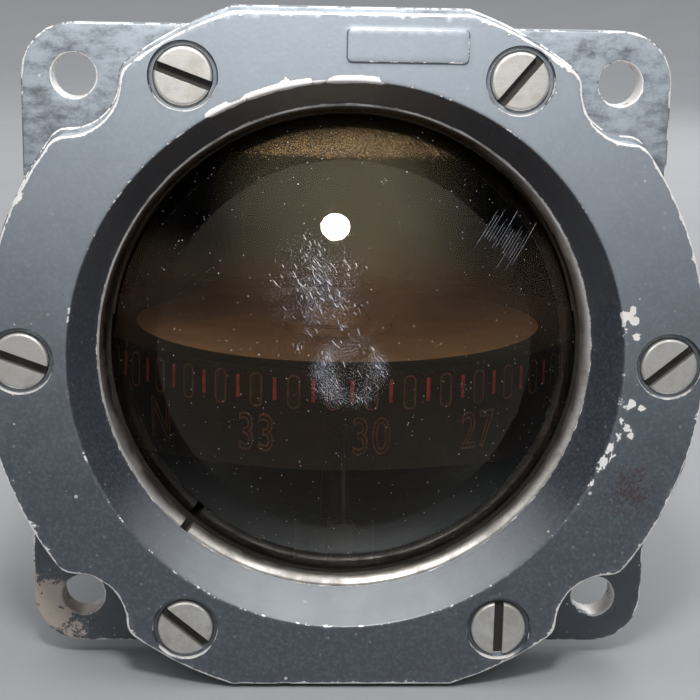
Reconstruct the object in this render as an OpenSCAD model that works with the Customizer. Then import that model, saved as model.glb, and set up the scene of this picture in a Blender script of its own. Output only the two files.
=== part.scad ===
// Panel-mounted aircraft compass with a fluid bowl, a floating card and a two-axis compensator.
// Frame: origin at the centre of the flange's rear face, +Z up, the window faces -Y, +X to the right.

/* [Window] */
// Width from the barrel's outside in to the foot of the bezel's funnel
window_edge = 5.7; // [4.8:0.1:7]
// Flare of the funnel on each side, from its foot to its mouth
funnel_flare = 3.05; // [1:0.05:4]
// Depth of the funnel below the bezel's face
funnel_depth = 6.4; // [5.5:0.1:7]
// Outer radius of the domed glass
glass_sphere_r = 40; // [36:0.5:55]
// Thickness of the glass
glass_t = 3; // [2:0.1:4]
// Width of the flat glass rim outside the dome
glass_rim_w = 3.2; // [2.5:0.1:4]
// Thickness of the gasket under the glass
gasket_t = 1.2; // [0.8:0.1:1.6]
// How far the clamp ring shows inside the funnel's foot
clamp_show = 1.1; // [0.6:0.1:1.6]
// Thickness of the split clamp ring
clamp_t = 2.2; // [1.6:0.1:2.6]
// Width of the cut in the clamp ring
clamp_cut = 1.2; // [0.5:0.1:3]
// Direction of that cut, counter-clockwise from +X as seen from the front
clamp_cut_angle = 229; // [0:1:359]

/* [Bezel and front ring] */
// Thickness of the bezel
bezel_t = 5; // [4.5:0.1:7]
// Thickness of the casing's front ring
ring_t = 5; // [4.8:0.1:7]
// Metal from the screw circle to the ring's edge
ring_edge = 5.2; // [4.9:0.1:5.8]
// How far the top and bottom flats cut into the ring
ring_flat_cut = 2.3; // [1:0.1:3]
// How far the bezel's outline lies inside the ring's
bezel_step = 0.6; // [0:0.1:1.2]
// Radius of the ring's scallops around the panel bolts
scallop_r = 6; // [5:0.1:7]
// Radius that blends a scallop into the outer edge
scallop_blend = 2.4; // [1:0.1:4]
// Width of the raised blank number pad
pad_w = 14.4; // [8:0.1:16]
// Height of the raised blank number pad
pad_h = 3.9; // [3:0.1:4.5]
// Distance of the pad's centre from the middle of the bezel
pad_x = 6.5; // [0:0.1:8]
// How far the pad stands out of the bezel's face
pad_rise = 0.35; // [0.2:0.05:0.6]
// Metal between the pad and the bezel's top flat
pad_edge = 1.8; // [1:0.1:2.5]

/* [Screws] */
// Thread diameter of the bezel screws and the post screw
screw_d = 4; // [3:0.5:4]
// Diameter of their cheese heads
screw_head_d = 7; // [6:0.1:7.5]
// Height of their cheese heads
screw_head_h = 2.6; // [2:0.1:2.8]
// Thread length of a bezel screw in the front ring
screw_grip = 4.2; // [3:0.1:4.4]
// Thread diameter of the rear cover and foot screws
cover_screw_d = 3; // [2.5:0.1:3]
// Head diameter of the rear cover and foot screws
cover_head_d = 5.5; // [5:0.1:5.5]
// Head height of the rear cover and foot screws
cover_head_h = 2; // [1.6:0.1:2.4]
// Thread diameter of the small screws inside and on the compensator lid
small_screw_d = 1.6; // [1.4:0.1:2]

/* [Mounting flange] */
// Thickness of the square flange
flange_t = 4; // [3:0.1:6]
// Width of the flange beyond the barrel on each side
flange_lip = 3.5; // [2.5:0.1:6]
// Corner radius of the flange
flange_corner_r = 6.4; // [4:0.1:8]
// Distance of the bolt holes from the flange's edges
bolt_edge = 6.5; // [5.5:0.1:8]
// Distance of the bolt holes' centres outside the front ring
bolt_out = 2.88; // [1:0.02:4]
// Diameter of the panel bolt holes
bolt_hole_d = 5.5; // [4.5:0.1:6.5]

/* [Casing] */
// Outer diameter of the barrel, which passes the panel's cut-out
barrel_d = 74; // [72:0.5:84]
// Wall of the barrel
barrel_wall = 3.2; // [2.5:0.1:3.8]
// Thickness of the ledge under the glass
ledge_t = 3.5; // [3:0.1:5]
// Width of the barrel's rear rim
rear_rim_w = 10; // [8:0.1:11]
// Thickness of the barrel's rear rim
rear_rim_t = 6; // [5.5:0.1:9]
// Height of the boss under the pivot post
post_boss_h = 4.8; // [4:0.1:6]
// Height of the boss around the filler plug
filler_boss_h = 4.3; // [3.5:0.1:6]
// Thread diameter of the filler plug
filler_d = 8; // [6:0.5:9]
// Distance of the filler plug behind the pivot
filler_back = 17; // [12:0.5:19]

/* [Card] */
// Height of the card's band
card_h = 12; // [9:0.5:13]
// Depth of the band's lower edge below the pivot point
card_drop = 11; // [9:0.5:12]
// Depth of the pivot point below the window's centre
pivot_drop = 3; // [2:0.1:5]
// Wall of the card
card_wall = 0.6; // [0.4:0.1:1]
// Tilt of the card each way, in degrees
card_tilt = 12; // [5:1:13]
// Heading under the pointer at rest, in degrees
card_heading = 307; // [0:1:359]
// Room between the tilted card and the barrel
card_room = 3; // [2.5:0.1:5]
// Diameter of the float
float_d = 28; // [24:0.5:32]
// Height of the float
float_h = 8; // [7.6:0.1:8.4]
// Distance of each bar magnet from the card's axis
magnet_offset = 9; // [8.6:0.1:10]
// Length of the bar magnets
magnet_len = 28; // [20:0.5:30]
// Diameter of the bar magnets
magnet_d = 2.6; // [2:0.1:2.8]

/* [Pointer and pivot] */
// Diameter of the lubber pointer
pointer_d = 0.6; // [0.4:0.05:1]
// Room between the pointer and the tilted card
pointer_gap = 0.9; // [0.6:0.1:1.5]
// Room between the pointer's bracket and the glass
bracket_gap = 0.8; // [0.5:0.1:1.5]
// Diameter of the pivot post's lower part
post_d = 8; // [7:0.1:9]
// Diameter of the pivot post's stem
stem_d = 2.8; // [2.4:0.1:3.2]
// Diameter of the pivot pin
pin_d = 1.6; // [1.2:0.1:1.8]

/* [Rear cover] */
// Thickness of the rear gasket
rear_gasket_t = 1; // [0.6:0.1:2]
// Thickness of the expansion diaphragm
diaphragm_t = 0.4; // [0.3:0.05:0.6]
// Height of the diaphragm's waves
wave_h = 0.8; // [0.4:0.1:1.2]
// Thickness of the rear cover's flange
cover_flange_t = 4; // [3:0.1:5]
// Full height of the rear cover
cover_h = 9; // [8:0.1:14]
// Thickness of the rear cover's end wall
cover_wall = 3; // [2.5:0.1:4]

/* [Compensator] */
// Teeth on each corrector gear, an odd number
gear_teeth = 15; // [15:2:17]
// Gear module
gear_module = 0.6; // [0.5:0.02:0.62]
// Thickness of a gear
gear_t = 3; // [2:0.1:4]
// Thickness of the housing's foot
foot_t = 2; // [1.6:0.1:3]
// Wall of the housing
housing_wall = 1.8; // [1.5:0.1:2.2]
// Thickness of the housing's floor
housing_floor_t = 2; // [1.6:0.1:3]
// Thickness of the housing's lid
lid_t = 2; // [1.8:0.1:3]
// Thickness of a corrector magnet
corrector_t = 2; // [1.5:0.1:3]
// Diameter of the corrector shafts
shaft_d = 2.4; // [2:0.1:2.6]
// Diameter of an adjuster's slotted head
adjuster_head_d = 6.4; // [5:0.1:7]

/* [Hidden] */
$fn = 96;

// Clearances: free air, a screw in its hole, a shaft in its bearing, a piece fixed on another
air = 0.3;
thread_clear = 0.05;
running_clear = 0.05;
fixed_clear = 0.02;
// How far a blind screw hole goes on past the screw's end
hole_runout = 0.3;
// Overlap that keeps cuts and joins clean
cut = 0.5;

// Levels along the instrument's axis, counted forward from the flange's rear face
flange_front = flange_t;
ring_front = flange_front + ring_t;
bezel_front = ring_front + bezel_t;
funnel_foot = bezel_front - funnel_depth;
clamp_bottom = funnel_foot - clamp_t;
glass_seat = clamp_bottom - glass_t;
ledge_front = glass_seat - gasket_t;
ledge_back = ledge_front - ledge_t;

// Barrel, flange and front ring, from the barrel outwards
barrel_r = barrel_d / 2;
flange_side = 2 * (barrel_r + flange_lip);
bolt_spacing = flange_side - 2 * bolt_edge;
ring_r = norm([bolt_spacing, bolt_spacing]) / 2 - bolt_out;
ring_half_h = ring_r - ring_flat_cut;
screw_circle_r = ring_r - ring_edge;
counterbore_room = 0.55;
pad_z = ring_half_h - bezel_step - pad_edge - pad_h / 2;
pad_corner_r = 0.5;

// Radii of the window, from the funnel outwards
window_r = barrel_r - window_edge;
funnel_mouth_r = window_r + funnel_flare;
clamp_in_r = window_r - clamp_show;
clamp_chamfer = 0.8;
dome_base_r = clamp_in_r - air;
glass_rim_r = dome_base_r + glass_rim_w;
bore_r = glass_rim_r + air;
glass_in_r = glass_sphere_r - glass_t;
glass_centre = clamp_bottom - sqrt(pow(glass_sphere_r, 2) - pow(dome_base_r, 2));
seat_r = sqrt(pow(glass_in_r, 2) - pow(glass_seat - glass_centre, 2)) + air;

// The room inside and the card that turns in it
chamber_r = barrel_r - barrel_wall;
card_reach = chamber_r - pivot_drop - card_room;
card_r = sqrt(pow(card_reach, 2) - pow(card_drop, 2));

// Heights of the card and the pivot, and the card's travel as it tilts
pivot_z = -pivot_drop;
card_bottom_z = pivot_z - card_drop;
card_top_z = card_bottom_z + card_h;
card_low_z = pivot_z - card_drop * cos(card_tilt) - card_r * sin(card_tilt);
card_forward = card_r * cos(card_tilt) + card_drop * sin(card_tilt);

// Pointer bracket, from the ledge up and forward under the card
bracket_t = 1;
bracket_w = 9;
tongue_t = 0.8;
tongue_w = 3;
tongue_tip = 0.6;
tongue_gap = 1.9;
tongue_top_z = card_low_z - tongue_gap;
tongue_bottom_z = tongue_top_z - tongue_t;
pointer_r = pointer_d / 2;
tongue_end_y = -glass_centre - sqrt(pow(glass_in_r, 2) - pow(tongue_bottom_z, 2)) + bracket_gap;
pointer_y = tongue_end_y + tongue_tip;
bracket_screw_x = 2.8;
bracket_screw_z = -(seat_r + chamber_r) / 2;
bracket_grip = 2.4;
bracket_margin = 1.2;
bracket_bottom_z = bracket_screw_z - bracket_margin;
bracket_shoulder_z = bracket_screw_z + 1.5 * bracket_margin;
bracket_neck_z = bracket_shoulder_z + bracket_w * 0.3;

// Pivot, rear rim and the stack behind the barrel, counted backward along +Y
pivot_y = pointer_y + pointer_r + pointer_gap + card_forward;
rear_room = 1.2;
rim_front_y = pivot_y + card_reach + rear_room;
barrel_len = rim_front_y + rear_rim_t;
rear_open_r = barrel_r - rear_rim_w;
cover_step = 0.4;
cover_r = barrel_r - cover_step;
cover_head_r = cover_head_d / 2;
cover_head_edge = 0.65;
cover_screw_r = cover_r - cover_head_r - cover_head_edge;
drum_gap = 0.45;
drum_r = cover_screw_r - cover_head_r - drum_gap;
cavity_step = 0.5;
cavity_r = rear_open_r - cavity_step;
cover_screw_grip = 4.5;
diaphragm_y = barrel_len + rear_gasket_t;
cover_y = diaphragm_y + diaphragm_t;
comp_y = cover_y + cover_h;
vent_d = 1.6;
vent_z = drum_r * 0.55;

// Screw recesses in the barrel
washer_t = 0.8;
washer_lip = 0.4;
head_room = 1.1;
head_sink = 0.2;
head_recess_r = screw_head_d / 2 + head_room;
post_recess_depth = screw_head_h + washer_t + head_sink;
post_boss_wall = 4.4;
filler_head_lip = 1.4;
filler_head_r = filler_d / 2 + filler_head_lip;
filler_head_h = 2.2;
filler_washer_t = 1;
filler_sink = 0.8;
filler_recess_depth = filler_head_h + filler_washer_t + filler_sink;
filler_room = 0.6;
filler_recess_r = filler_head_r + filler_room;
filler_boss_wall = 3;
filler_y = pivot_y + filler_back;
post_boss_top_z = -(chamber_r - post_boss_h);
filler_boss_low_z = chamber_r - filler_boss_h;

// Post, jewel and hub
post_foot_lip = 2.5;
post_foot_r = post_d / 2 + post_foot_lip;
post_foot_h = 3;
post_gap = 2.4;
stem_base_z = card_low_z - post_gap;
post_cap_t = 1;
post_hole_depth = stem_base_z - post_boss_top_z - post_cap_t;
pin_reach = 5;
stem_top_z = pivot_z - pin_reach;
pin_tip_r = 0.12;
pin_cone_angle = 15;
pin_socket_depth = 4;
pin_cone_h = (pin_d / 2 - pin_tip_r) / tan(pin_cone_angle);
jewel_r = 1.8;
jewel_cone_angle = 40;
jewel_clear = 0.15;
tip_clear = 0.1;
setting_r = 4.2;
setting_drop = 2.4;
setting_flange_r = 5.6;
setting_flange_t = 0.8;
setting_gap = 0.1;
disc_t = card_wall;
float_r = float_d / 2;
float_wall = 0.6;
float_base_t = 0.4;
float_top_z = card_top_z - disc_t;
float_bottom_z = float_top_z - float_h;
hub_hole_r = setting_r + running_clear;
stem_hole_r = 5.6;
tube_wall = 1.2;
carrier_t = 0.8;
carrier_step = 0.6;
carrier_in_r = stem_hole_r + carrier_step;
carrier_edge = 0.8;
carrier_out_r = magnet_offset + magnet_d / 2 + carrier_edge;
carrier_top_z = float_bottom_z - float_base_t;
cradle_side = 0.7;
cradle_w = magnet_d + 2 * cradle_side;
cradle_l = 8;
cradle_floor = 0.4;
cradle_drop = magnet_d / 2 + cradle_floor;
magnet_z = carrier_top_z - carrier_t - cradle_drop;

// Compensator: two pairs of meshed gears on upright shafts
pitch_r = gear_teeth * gear_module / 2;
pressure_angle = 20;
base_r = pitch_r * cos(pressure_angle);
addendum = 0.8;
dedendum = 1.1;
tip_r = pitch_r + addendum * gear_module;
root_r = pitch_r - dedendum * gear_module;
tooth_fill = 0.92;
gear_gap = 0.6;
inner_shaft_x = tip_r + gear_gap;
outer_shaft_x = inner_shaft_x + 2 * pitch_r;
end_room = 2;
well_half_w = outer_shaft_x + tip_r + end_room;
well_half_d = tip_r + gear_gap;
shaft_y = comp_y + foot_t + well_half_d;
housing_back_y = shaft_y + well_half_d + housing_wall;
end_play = 0.4;
shoulder_t = 1.2;
well_h = 2 * end_play + gear_t + corrector_t + shoulder_t;
housing_half_h = (housing_floor_t + well_h + lid_t) / 2;
floor_top_z = -housing_half_h + housing_floor_t;
gear_z = floor_top_z + end_play;
corrector_z = gear_z + gear_t;
shoulder_z = corrector_z + corrector_t;
lid_z = floor_top_z + well_h;
shaft_r = shaft_d / 2;
journal_step = 0.2;
journal_r = shaft_r - journal_step;
end_gap = 0.1;
neck_r = 1.8;
shoulder_r = 2.6;
head_gap = 0.3;
adjuster_head_h = 2;
lid_skin = 0.6;
blind_depth = lid_t - lid_skin;
corrector_side = 0.6;
corrector_w = shaft_d + 2 * corrector_side;
swing_room = 0.25;
corrector_l = 2 * sqrt(pow(pitch_r - swing_room, 2) - pow(corrector_w / 2, 2));
lid_boss_wall = 0.8;
lid_boss_r = small_screw_d / 2 + lid_boss_wall;
lid_screw_x = well_half_w - lid_boss_r / 2;
lid_screw_d = well_half_d - lid_boss_r / 2;
lid_screw_grip = 5;
lid_screw_clear = 0.15;
small_head_h = small_screw_d * 0.6;
foot_head_gap = 0.4;
foot_screw_x = well_half_w + housing_wall + cover_head_r + foot_head_gap;
foot_edge = 0.25;
foot_half_w = foot_screw_x + cover_head_r + foot_edge;
foot_corner_r = 3;

// Slot directions of the screws where they were left, in degrees
slot_turns = [40, 50, -20, -20, -40, 90];
bracket_slot_turn = 30;
post_slot_turn = 20;
filler_slot_turn = 65;
cover_slot_turn = 35;
lid_slot_turn = 15;
foot_slot_turn = 50;
b_slot_turn = -65;
c_slot_turn = 25;
// Width of a slot as a share of the head's diameter, and its depth as a share of the head's height
slot_share = 0.17;
slot_sink = 0.42;

echo(pivot_y = pivot_y, pivot_z = pivot_z, barrel_len = barrel_len, card_r = card_r, seat_r = seat_r);
echo(shaft_y = shaft_y, inner_shaft_x = inner_shaft_x, outer_shaft_x = outer_shaft_x);
echo(bolt_spacing = bolt_spacing, housing_back_y = housing_back_y, pointer_y = pointer_y);
echo(glass_front = glass_centre + glass_sphere_r);

// Helpers

// A piece drawn face up, with the window's side upwards, turned to stand in the panel
module mounted() rotate([90, 0, 0]) children();

// A point in polar form, an arc about a centre, and an arc that goes on from the point before it
function polar(r, angle) = [r * cos(angle), r * sin(angle)];
function arc(centre, r, from, to, steps) =
  [for (i = [0:steps]) centre + polar(r, from + (to - from) * i / steps)];
function arc_on(centre, r, from, to, steps) =
  [for (i = [1:steps]) centre + polar(r, from + (to - from) * i / steps)];

// Outline of a rectangle with round corners
function round_rect(w, h, r) = concat(
  arc([w / 2 - r, h / 2 - r], r, 0, 90, 8),
  arc([-w / 2 + r, h / 2 - r], r, 90, 180, 8),
  arc([-w / 2 + r, -h / 2 + r], r, 180, 270, 8),
  arc([w / 2 - r, -h / 2 + r], r, 270, 360, 8));

// First quarter of the front outline: outer arc, scallop with its two blends, arc, top flat
function front_quarter(inset) = let(
  edge_r = ring_r - inset,
  notch_r = scallop_r + inset,
  notch = [bolt_spacing / 2, bolt_spacing / 2],
  notch_far = norm(notch),
  blend_far = edge_r - scallop_blend,
  swing = acos((pow(blend_far, 2) + pow(notch_far, 2) - pow(notch_r + scallop_blend, 2))
    / (2 * blend_far * notch_far)),
  low = polar(blend_far, 45 - swing),
  high = polar(blend_far, 45 + swing),
  low_turn = atan2(notch.y - low.y, notch.x - low.x),
  high_turn = atan2(notch.y - high.y, notch.x - high.x),
  top_angle = asin((ring_half_h - inset) / edge_r))
  concat(
    arc_on([0, 0], edge_r, 0, 45 - swing, 18),
    arc_on(low, scallop_blend, 45 - swing, low_turn, 6),
    arc_on(notch, notch_r, low_turn + 180, high_turn + 180, 10),
    arc_on(high, scallop_blend, high_turn, 45 + swing, 6),
    arc_on([0, 0], edge_r, 45 + swing, top_angle, 10));
function flip_x(points) = [for (i = [len(points) - 1:-1:0]) [-points[i].x, points[i].y]];
function flip_y(points) = [for (i = [len(points) - 1:-1:0]) [points[i].x, -points[i].y]];
module front_outline(inset) {
  quarter = front_quarter(inset);
  half = concat(quarter, flip_x(quarter));
  polygon(concat(half, flip_y(half)));
}

// One child at each of the bezel's screws, the rear cover's screws, or the panel's bolts
module at_bezel_screws() for (i = [0:5]) translate(polar(screw_circle_r, 60 * i)) children();
module at_cover_screws() for (i = [0:5]) translate(polar(cover_screw_r, 60 * i + 30)) children();
module at_bolts() for (x = [-1, 1], y = [-1, 1]) translate([x, y] * bolt_spacing / 2) children();

// A slotted cheese-head screw with its head's top at zero, its shank downwards
module slotted_screw(head_d, head_h, thread_d, length, slot_turn) {
  slot_w = head_d * slot_share;
  slot_depth = head_h * slot_sink;
  difference() {
    translate([0, 0, -head_h]) cylinder(d = head_d, h = head_h);
    rotate([0, 0, slot_turn]) translate([-head_d, -slot_w / 2, -slot_depth])
      cube([2 * head_d, slot_w, slot_depth + cut]);
  }
  translate([0, 0, -head_h - length]) cylinder(d = thread_d, h = length + cut);
}

// A flat ring
module washer(outer_r, inner_r, h) difference() {
  cylinder(r = outer_r, h = h);
  translate([0, 0, -cut]) cylinder(r = inner_r, h = h + 2 * cut);
}

// Involute tooth outline: half the angle of a tooth at a radius, then the whole gear
function involute_angle(r) = let(a = acos(base_r / max(r, base_r))) tan(a) * 180 / PI - a;
function tooth_half(r) = 90 / gear_teeth * tooth_fill + involute_angle(pitch_r) - involute_angle(r);
flank = [root_r, for (k = [0:4]) base_r + (tip_r - base_r) * k / 4];
gear_points = [for (i = [0:gear_teeth - 1]) each concat(
  [for (r = flank) polar(r, 360 * i / gear_teeth - tooth_half(r))],
  [for (k = [len(flank) - 1:-1:0]) polar(flank[k], 360 * i / gear_teeth + tooth_half(flank[k]))])];

module corrector_gear(x, turn) translate([x, shaft_y, gear_z]) rotate([0, 0, turn])
  linear_extrude(gear_t) difference() {
    polygon(gear_points);
    circle(r = shaft_r + fixed_clear);
  }

module corrector_magnet(x, turn) translate([x, shaft_y, corrector_z]) rotate([0, 0, turn])
  difference() {
    translate([-corrector_l / 2, -corrector_w / 2, 0]) cube([corrector_l, corrector_w, corrector_t]);
    translate([0, 0, -cut]) cylinder(r = shaft_r + fixed_clear, h = corrector_t + 2 * cut);
  }

// Shaft with its lower journal and the shoulder above the magnet
module corrector_shaft(x) translate([x, shaft_y, 0]) {
  translate([0, 0, end_gap - housing_half_h]) cylinder(r = journal_r, h = housing_floor_t + end_play);
  translate([0, 0, gear_z]) cylinder(r = shaft_r, h = gear_t + corrector_t + cut);
  translate([0, 0, shoulder_z]) cylinder(r = shoulder_r, h = shoulder_t);
  children();
}

module adjuster_spindle(x, slot_turn) corrector_shaft(x) {
  head_top = lid_z + lid_t + head_gap + adjuster_head_h;
  translate([0, 0, shoulder_z]) cylinder(r = neck_r, h = head_top - shoulder_z - adjuster_head_h + cut);
  translate([0, 0, head_top])
    slotted_screw(adjuster_head_d, adjuster_head_h, 2 * neck_r, cut, slot_turn);
}

module follower_shaft(x) corrector_shaft(x)
  translate([0, 0, shoulder_z]) cylinder(r = journal_r, h = lid_z + blind_depth - end_gap - shoulder_z);

// Front of the instrument

module bezel_ring() color([0.22, 0.24, 0.29]) mounted() difference() {
  slope = funnel_flare / funnel_depth;
  union() {
    translate([0, 0, ring_front]) linear_extrude(bezel_t) front_outline(bezel_step);
    translate([0, 0, funnel_foot]) cylinder(r = bore_r - air, h = ring_front - funnel_foot + cut);
    translate([pad_x, pad_z, bezel_front - cut]) linear_extrude(pad_rise + cut)
      polygon(round_rect(pad_w, pad_h, pad_corner_r));
  }
  translate([0, 0, funnel_foot - cut])
    cylinder(r1 = window_r - cut * slope, r2 = funnel_mouth_r + cut * slope, h = funnel_depth + 2 * cut);
  at_bezel_screws() {
    translate([0, 0, ring_front - cut]) cylinder(r = screw_d / 2 + air, h = bezel_t + 2 * cut);
    translate([0, 0, bezel_front - screw_head_h])
      cylinder(r = screw_head_d / 2 + counterbore_room, h = screw_head_h + cut);
  }
}

module bezel_screws() color([0.75, 0.72, 0.66]) mounted()
  for (i = [0:5]) translate(concat(polar(screw_circle_r, 60 * i), [bezel_front]))
    slotted_screw(screw_head_d, screw_head_h, screw_d, bezel_t - screw_head_h + screw_grip, slot_turns[i]);

module glass_clamp_ring() color([0.72, 0.70, 0.66]) mounted() difference() {
  rotate_extrude() polygon([
    [clamp_in_r, clamp_bottom], [bore_r - air, clamp_bottom], [bore_r - air, funnel_foot],
    [clamp_in_r + clamp_chamfer, funnel_foot], [clamp_in_r, funnel_foot - clamp_chamfer]]);
  rotate([0, 0, clamp_cut_angle]) translate([0, -clamp_cut / 2, clamp_bottom - cut])
    cube([bore_r + cut, clamp_cut, clamp_t + 2 * cut]);
}

module glass_dome() color([0.55, 0.42, 0.25, 0.5]) mounted() difference() {
  union() {
    translate([0, 0, glass_seat]) cylinder(r = glass_rim_r, h = glass_t);
    intersection() {
      translate([0, 0, glass_centre]) sphere(r = glass_sphere_r);
      translate([0, 0, glass_seat + glass_t / 2])
        cylinder(r = dome_base_r + glass_rim_w / 2, h = glass_sphere_r);
    }
  }
  translate([0, 0, glass_centre]) sphere(r = glass_in_r);
}

module glass_gasket() color([0.12, 0.11, 0.10]) mounted()
  translate([0, 0, ledge_front]) washer(glass_rim_r, seat_r, gasket_t);

module bowl_casing() color([0.20, 0.22, 0.26]) mounted() difference() {
  union() {
    difference() {
      union() {
        translate([0, 0, flange_front]) linear_extrude(ring_t) front_outline(0);
        linear_extrude(flange_front + cut) polygon(round_rect(flange_side, flange_side, flange_corner_r));
        translate([0, 0, -barrel_len]) cylinder(r = barrel_r, h = barrel_len + cut);
      }
      translate([0, 0, ledge_front]) cylinder(r = bore_r, h = ring_front - ledge_front + cut);
      translate([0, 0, -rim_front_y]) cylinder(r = chamber_r, h = rim_front_y + ledge_back);
      translate([0, 0, ledge_back - cut]) cylinder(r = seat_r, h = ledge_t + 2 * cut);
      translate([0, 0, -barrel_len - cut]) cylinder(r = rear_open_r, h = rear_rim_t + 2 * cut);
    }
    inner_bosses();
  }
  at_bolts() translate([0, 0, -cut]) cylinder(d = bolt_hole_d, h = flange_t + 2 * cut);
  at_bezel_screws() translate([0, 0, ring_front - screw_grip - hole_runout])
    cylinder(r = screw_d / 2 + thread_clear, h = screw_grip + hole_runout + cut);
  at_cover_screws() translate([0, 0, -barrel_len - cut])
    cylinder(r = cover_screw_d / 2 + thread_clear, h = cover_screw_grip + hole_runout + cut);
  translate([0, 0, -pivot_y]) rotate([90, 0, 0]) {
    cylinder(r = screw_d / 2 + air, h = barrel_r + cut);
    translate([0, 0, barrel_r - post_recess_depth])
      cylinder(r = head_recess_r, h = post_recess_depth + cut);
  }
  translate([0, 0, -filler_y]) rotate([-90, 0, 0]) {
    cylinder(r = filler_d / 2 + thread_clear, h = barrel_r + cut);
    translate([0, 0, barrel_r - filler_recess_depth])
      cylinder(r = filler_recess_r, h = filler_recess_depth + cut);
  }
  for (side = [-1, 1]) translate([side * bracket_screw_x, bracket_screw_z, ledge_back - cut])
    cylinder(r = small_screw_d / 2 + thread_clear, h = bracket_grip + hole_runout + cut);
}

// Bosses inside the barrel, under the post and around the filler plug
module inner_bosses() intersection() {
  translate([0, 0, -barrel_len]) cylinder(r = chamber_r + barrel_wall / 2, h = barrel_len);
  union() {
    translate([0, post_boss_top_z, -pivot_y]) rotate([90, 0, 0])
      cylinder(r = head_recess_r + post_boss_wall, h = barrel_r);
    translate([0, filler_boss_low_z, -filler_y]) rotate([-90, 0, 0])
      cylinder(r = filler_recess_r + filler_boss_wall, h = barrel_r);
  }
}

// Lubber pointer

module lubber_bracket() color([0.45, 0.36, 0.20]) {
  plate_y = -ledge_back;
  difference() {
    translate([0, plate_y + bracket_t, 0]) rotate([90, 0, 0]) linear_extrude(bracket_t) polygon([
      [-bracket_w / 2, bracket_bottom_z], [bracket_w / 2, bracket_bottom_z],
      [bracket_w / 2, bracket_shoulder_z], [tongue_w / 2, bracket_neck_z],
      [tongue_w / 2, tongue_top_z], [-tongue_w / 2, tongue_top_z],
      [-tongue_w / 2, bracket_neck_z], [-bracket_w / 2, bracket_shoulder_z]]);
    for (side = [-1, 1]) translate([side * bracket_screw_x, plate_y - cut, bracket_screw_z])
      rotate([-90, 0, 0]) cylinder(r = small_screw_d / 2 + thread_clear, h = bracket_t + 2 * cut);
  }
  difference() {
    translate([-tongue_w / 2, tongue_end_y, tongue_bottom_z])
      cube([tongue_w, plate_y + cut - tongue_end_y, tongue_t]);
    translate([0, pointer_y, tongue_bottom_z - cut])
      cylinder(r = pointer_r + fixed_clear, h = tongue_t + 2 * cut, $fn = 24);
  }
}

module lubber_pointer() color([0.50, 0.38, 0.20]) translate([0, pointer_y, tongue_bottom_z])
  cylinder(r = pointer_r, h = card_top_z - card_h / 2 - tongue_bottom_z, $fn = 24);

module lubber_screws() color([0.70, 0.60, 0.35]) for (side = [-1, 1])
  translate([side * bracket_screw_x, bracket_t - ledge_back + small_screw_d / 2, bracket_screw_z])
    rotate([-90, 0, 0])
      slotted_screw(2 * small_screw_d, small_screw_d / 2, small_screw_d,
        bracket_t + bracket_grip, bracket_slot_turn * side);

// Pivot

module pivot_post() color([0.72, 0.58, 0.30]) translate([0, pivot_y, 0]) difference() {
  union() {
    translate([0, 0, post_boss_top_z]) cylinder(r = post_foot_r, h = post_foot_h);
    translate([0, 0, post_boss_top_z]) cylinder(d = post_d, h = stem_base_z - post_boss_top_z);
    translate([0, 0, stem_base_z - cut]) cylinder(d = stem_d, h = stem_top_z - stem_base_z + cut);
  }
  translate([0, 0, post_boss_top_z - cut])
    cylinder(r = screw_d / 2 + thread_clear, h = post_hole_depth + cut);
  translate([0, 0, stem_top_z - pin_socket_depth])
    cylinder(r = pin_d / 2 + fixed_clear, h = pin_socket_depth + cut, $fn = 32);
}

module pivot_pin() color([0.55, 0.56, 0.60]) translate([0, pivot_y, 0]) {
  cone_z = pivot_z - pin_cone_h;
  translate([0, 0, stem_top_z - pin_socket_depth])
    cylinder(d = pin_d, h = cone_z - stem_top_z + pin_socket_depth, $fn = 32);
  translate([0, 0, cone_z]) cylinder(r1 = pin_d / 2, r2 = pin_tip_r, h = pin_cone_h, $fn = 32);
}

module post_screw() color([0.70, 0.60, 0.35])
  translate([0, pivot_y, -barrel_r + post_recess_depth - washer_t - screw_head_h]) mirror([0, 0, 1])
    slotted_screw(screw_head_d, screw_head_h, screw_d,
      washer_t + barrel_r - post_recess_depth + post_boss_top_z + post_hole_depth - hole_runout,
      post_slot_turn);

module post_screw_washer() color([0.25, 0.10, 0.08])
  translate([0, pivot_y, -barrel_r + post_recess_depth - washer_t])
    washer(screw_head_d / 2 + washer_lip, screw_d / 2 + air, washer_t);

// Card on its point bearing

module jewel_cup() color([0.75, 0.20, 0.30]) translate([0, pivot_y, pivot_z]) difference() {
  sphere(r = jewel_r, $fn = 48);
  translate([0, 0, tip_clear - 2 * jewel_r])
    cylinder(r1 = 2 * jewel_r * tan(jewel_cone_angle), r2 = 0, h = 2 * jewel_r, $fn = 48);
}

module jewel_setting() color([0.72, 0.58, 0.30]) translate([0, pivot_y, 0]) difference() {
  flange_z = card_top_z + setting_gap;
  union() {
    translate([0, 0, pivot_z - setting_drop])
      cylinder(r = setting_r, h = flange_z - pivot_z + setting_drop + cut);
    translate([0, 0, flange_z]) cylinder(r = setting_flange_r, h = setting_flange_t);
    translate([0, 0, flange_z]) cylinder(r1 = setting_r, r2 = setting_r / 2, h = 3 * setting_flange_t);
  }
  translate([0, 0, pivot_z]) sphere(r = jewel_r + jewel_clear, $fn = 48);
  translate([0, 0, pivot_z - setting_drop - cut])
    cylinder(r = jewel_r + jewel_clear, h = setting_drop + cut);
}

module card_dial() color([0.30, 0.20, 0.10]) translate([0, pivot_y, card_bottom_z]) difference() {
  cylinder(r = card_r, h = card_h);
  translate([0, 0, -cut]) cylinder(r = card_r - card_wall, h = card_h - disc_t + cut);
  cylinder(r = hub_hole_r, h = card_h + cut);
}

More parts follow.
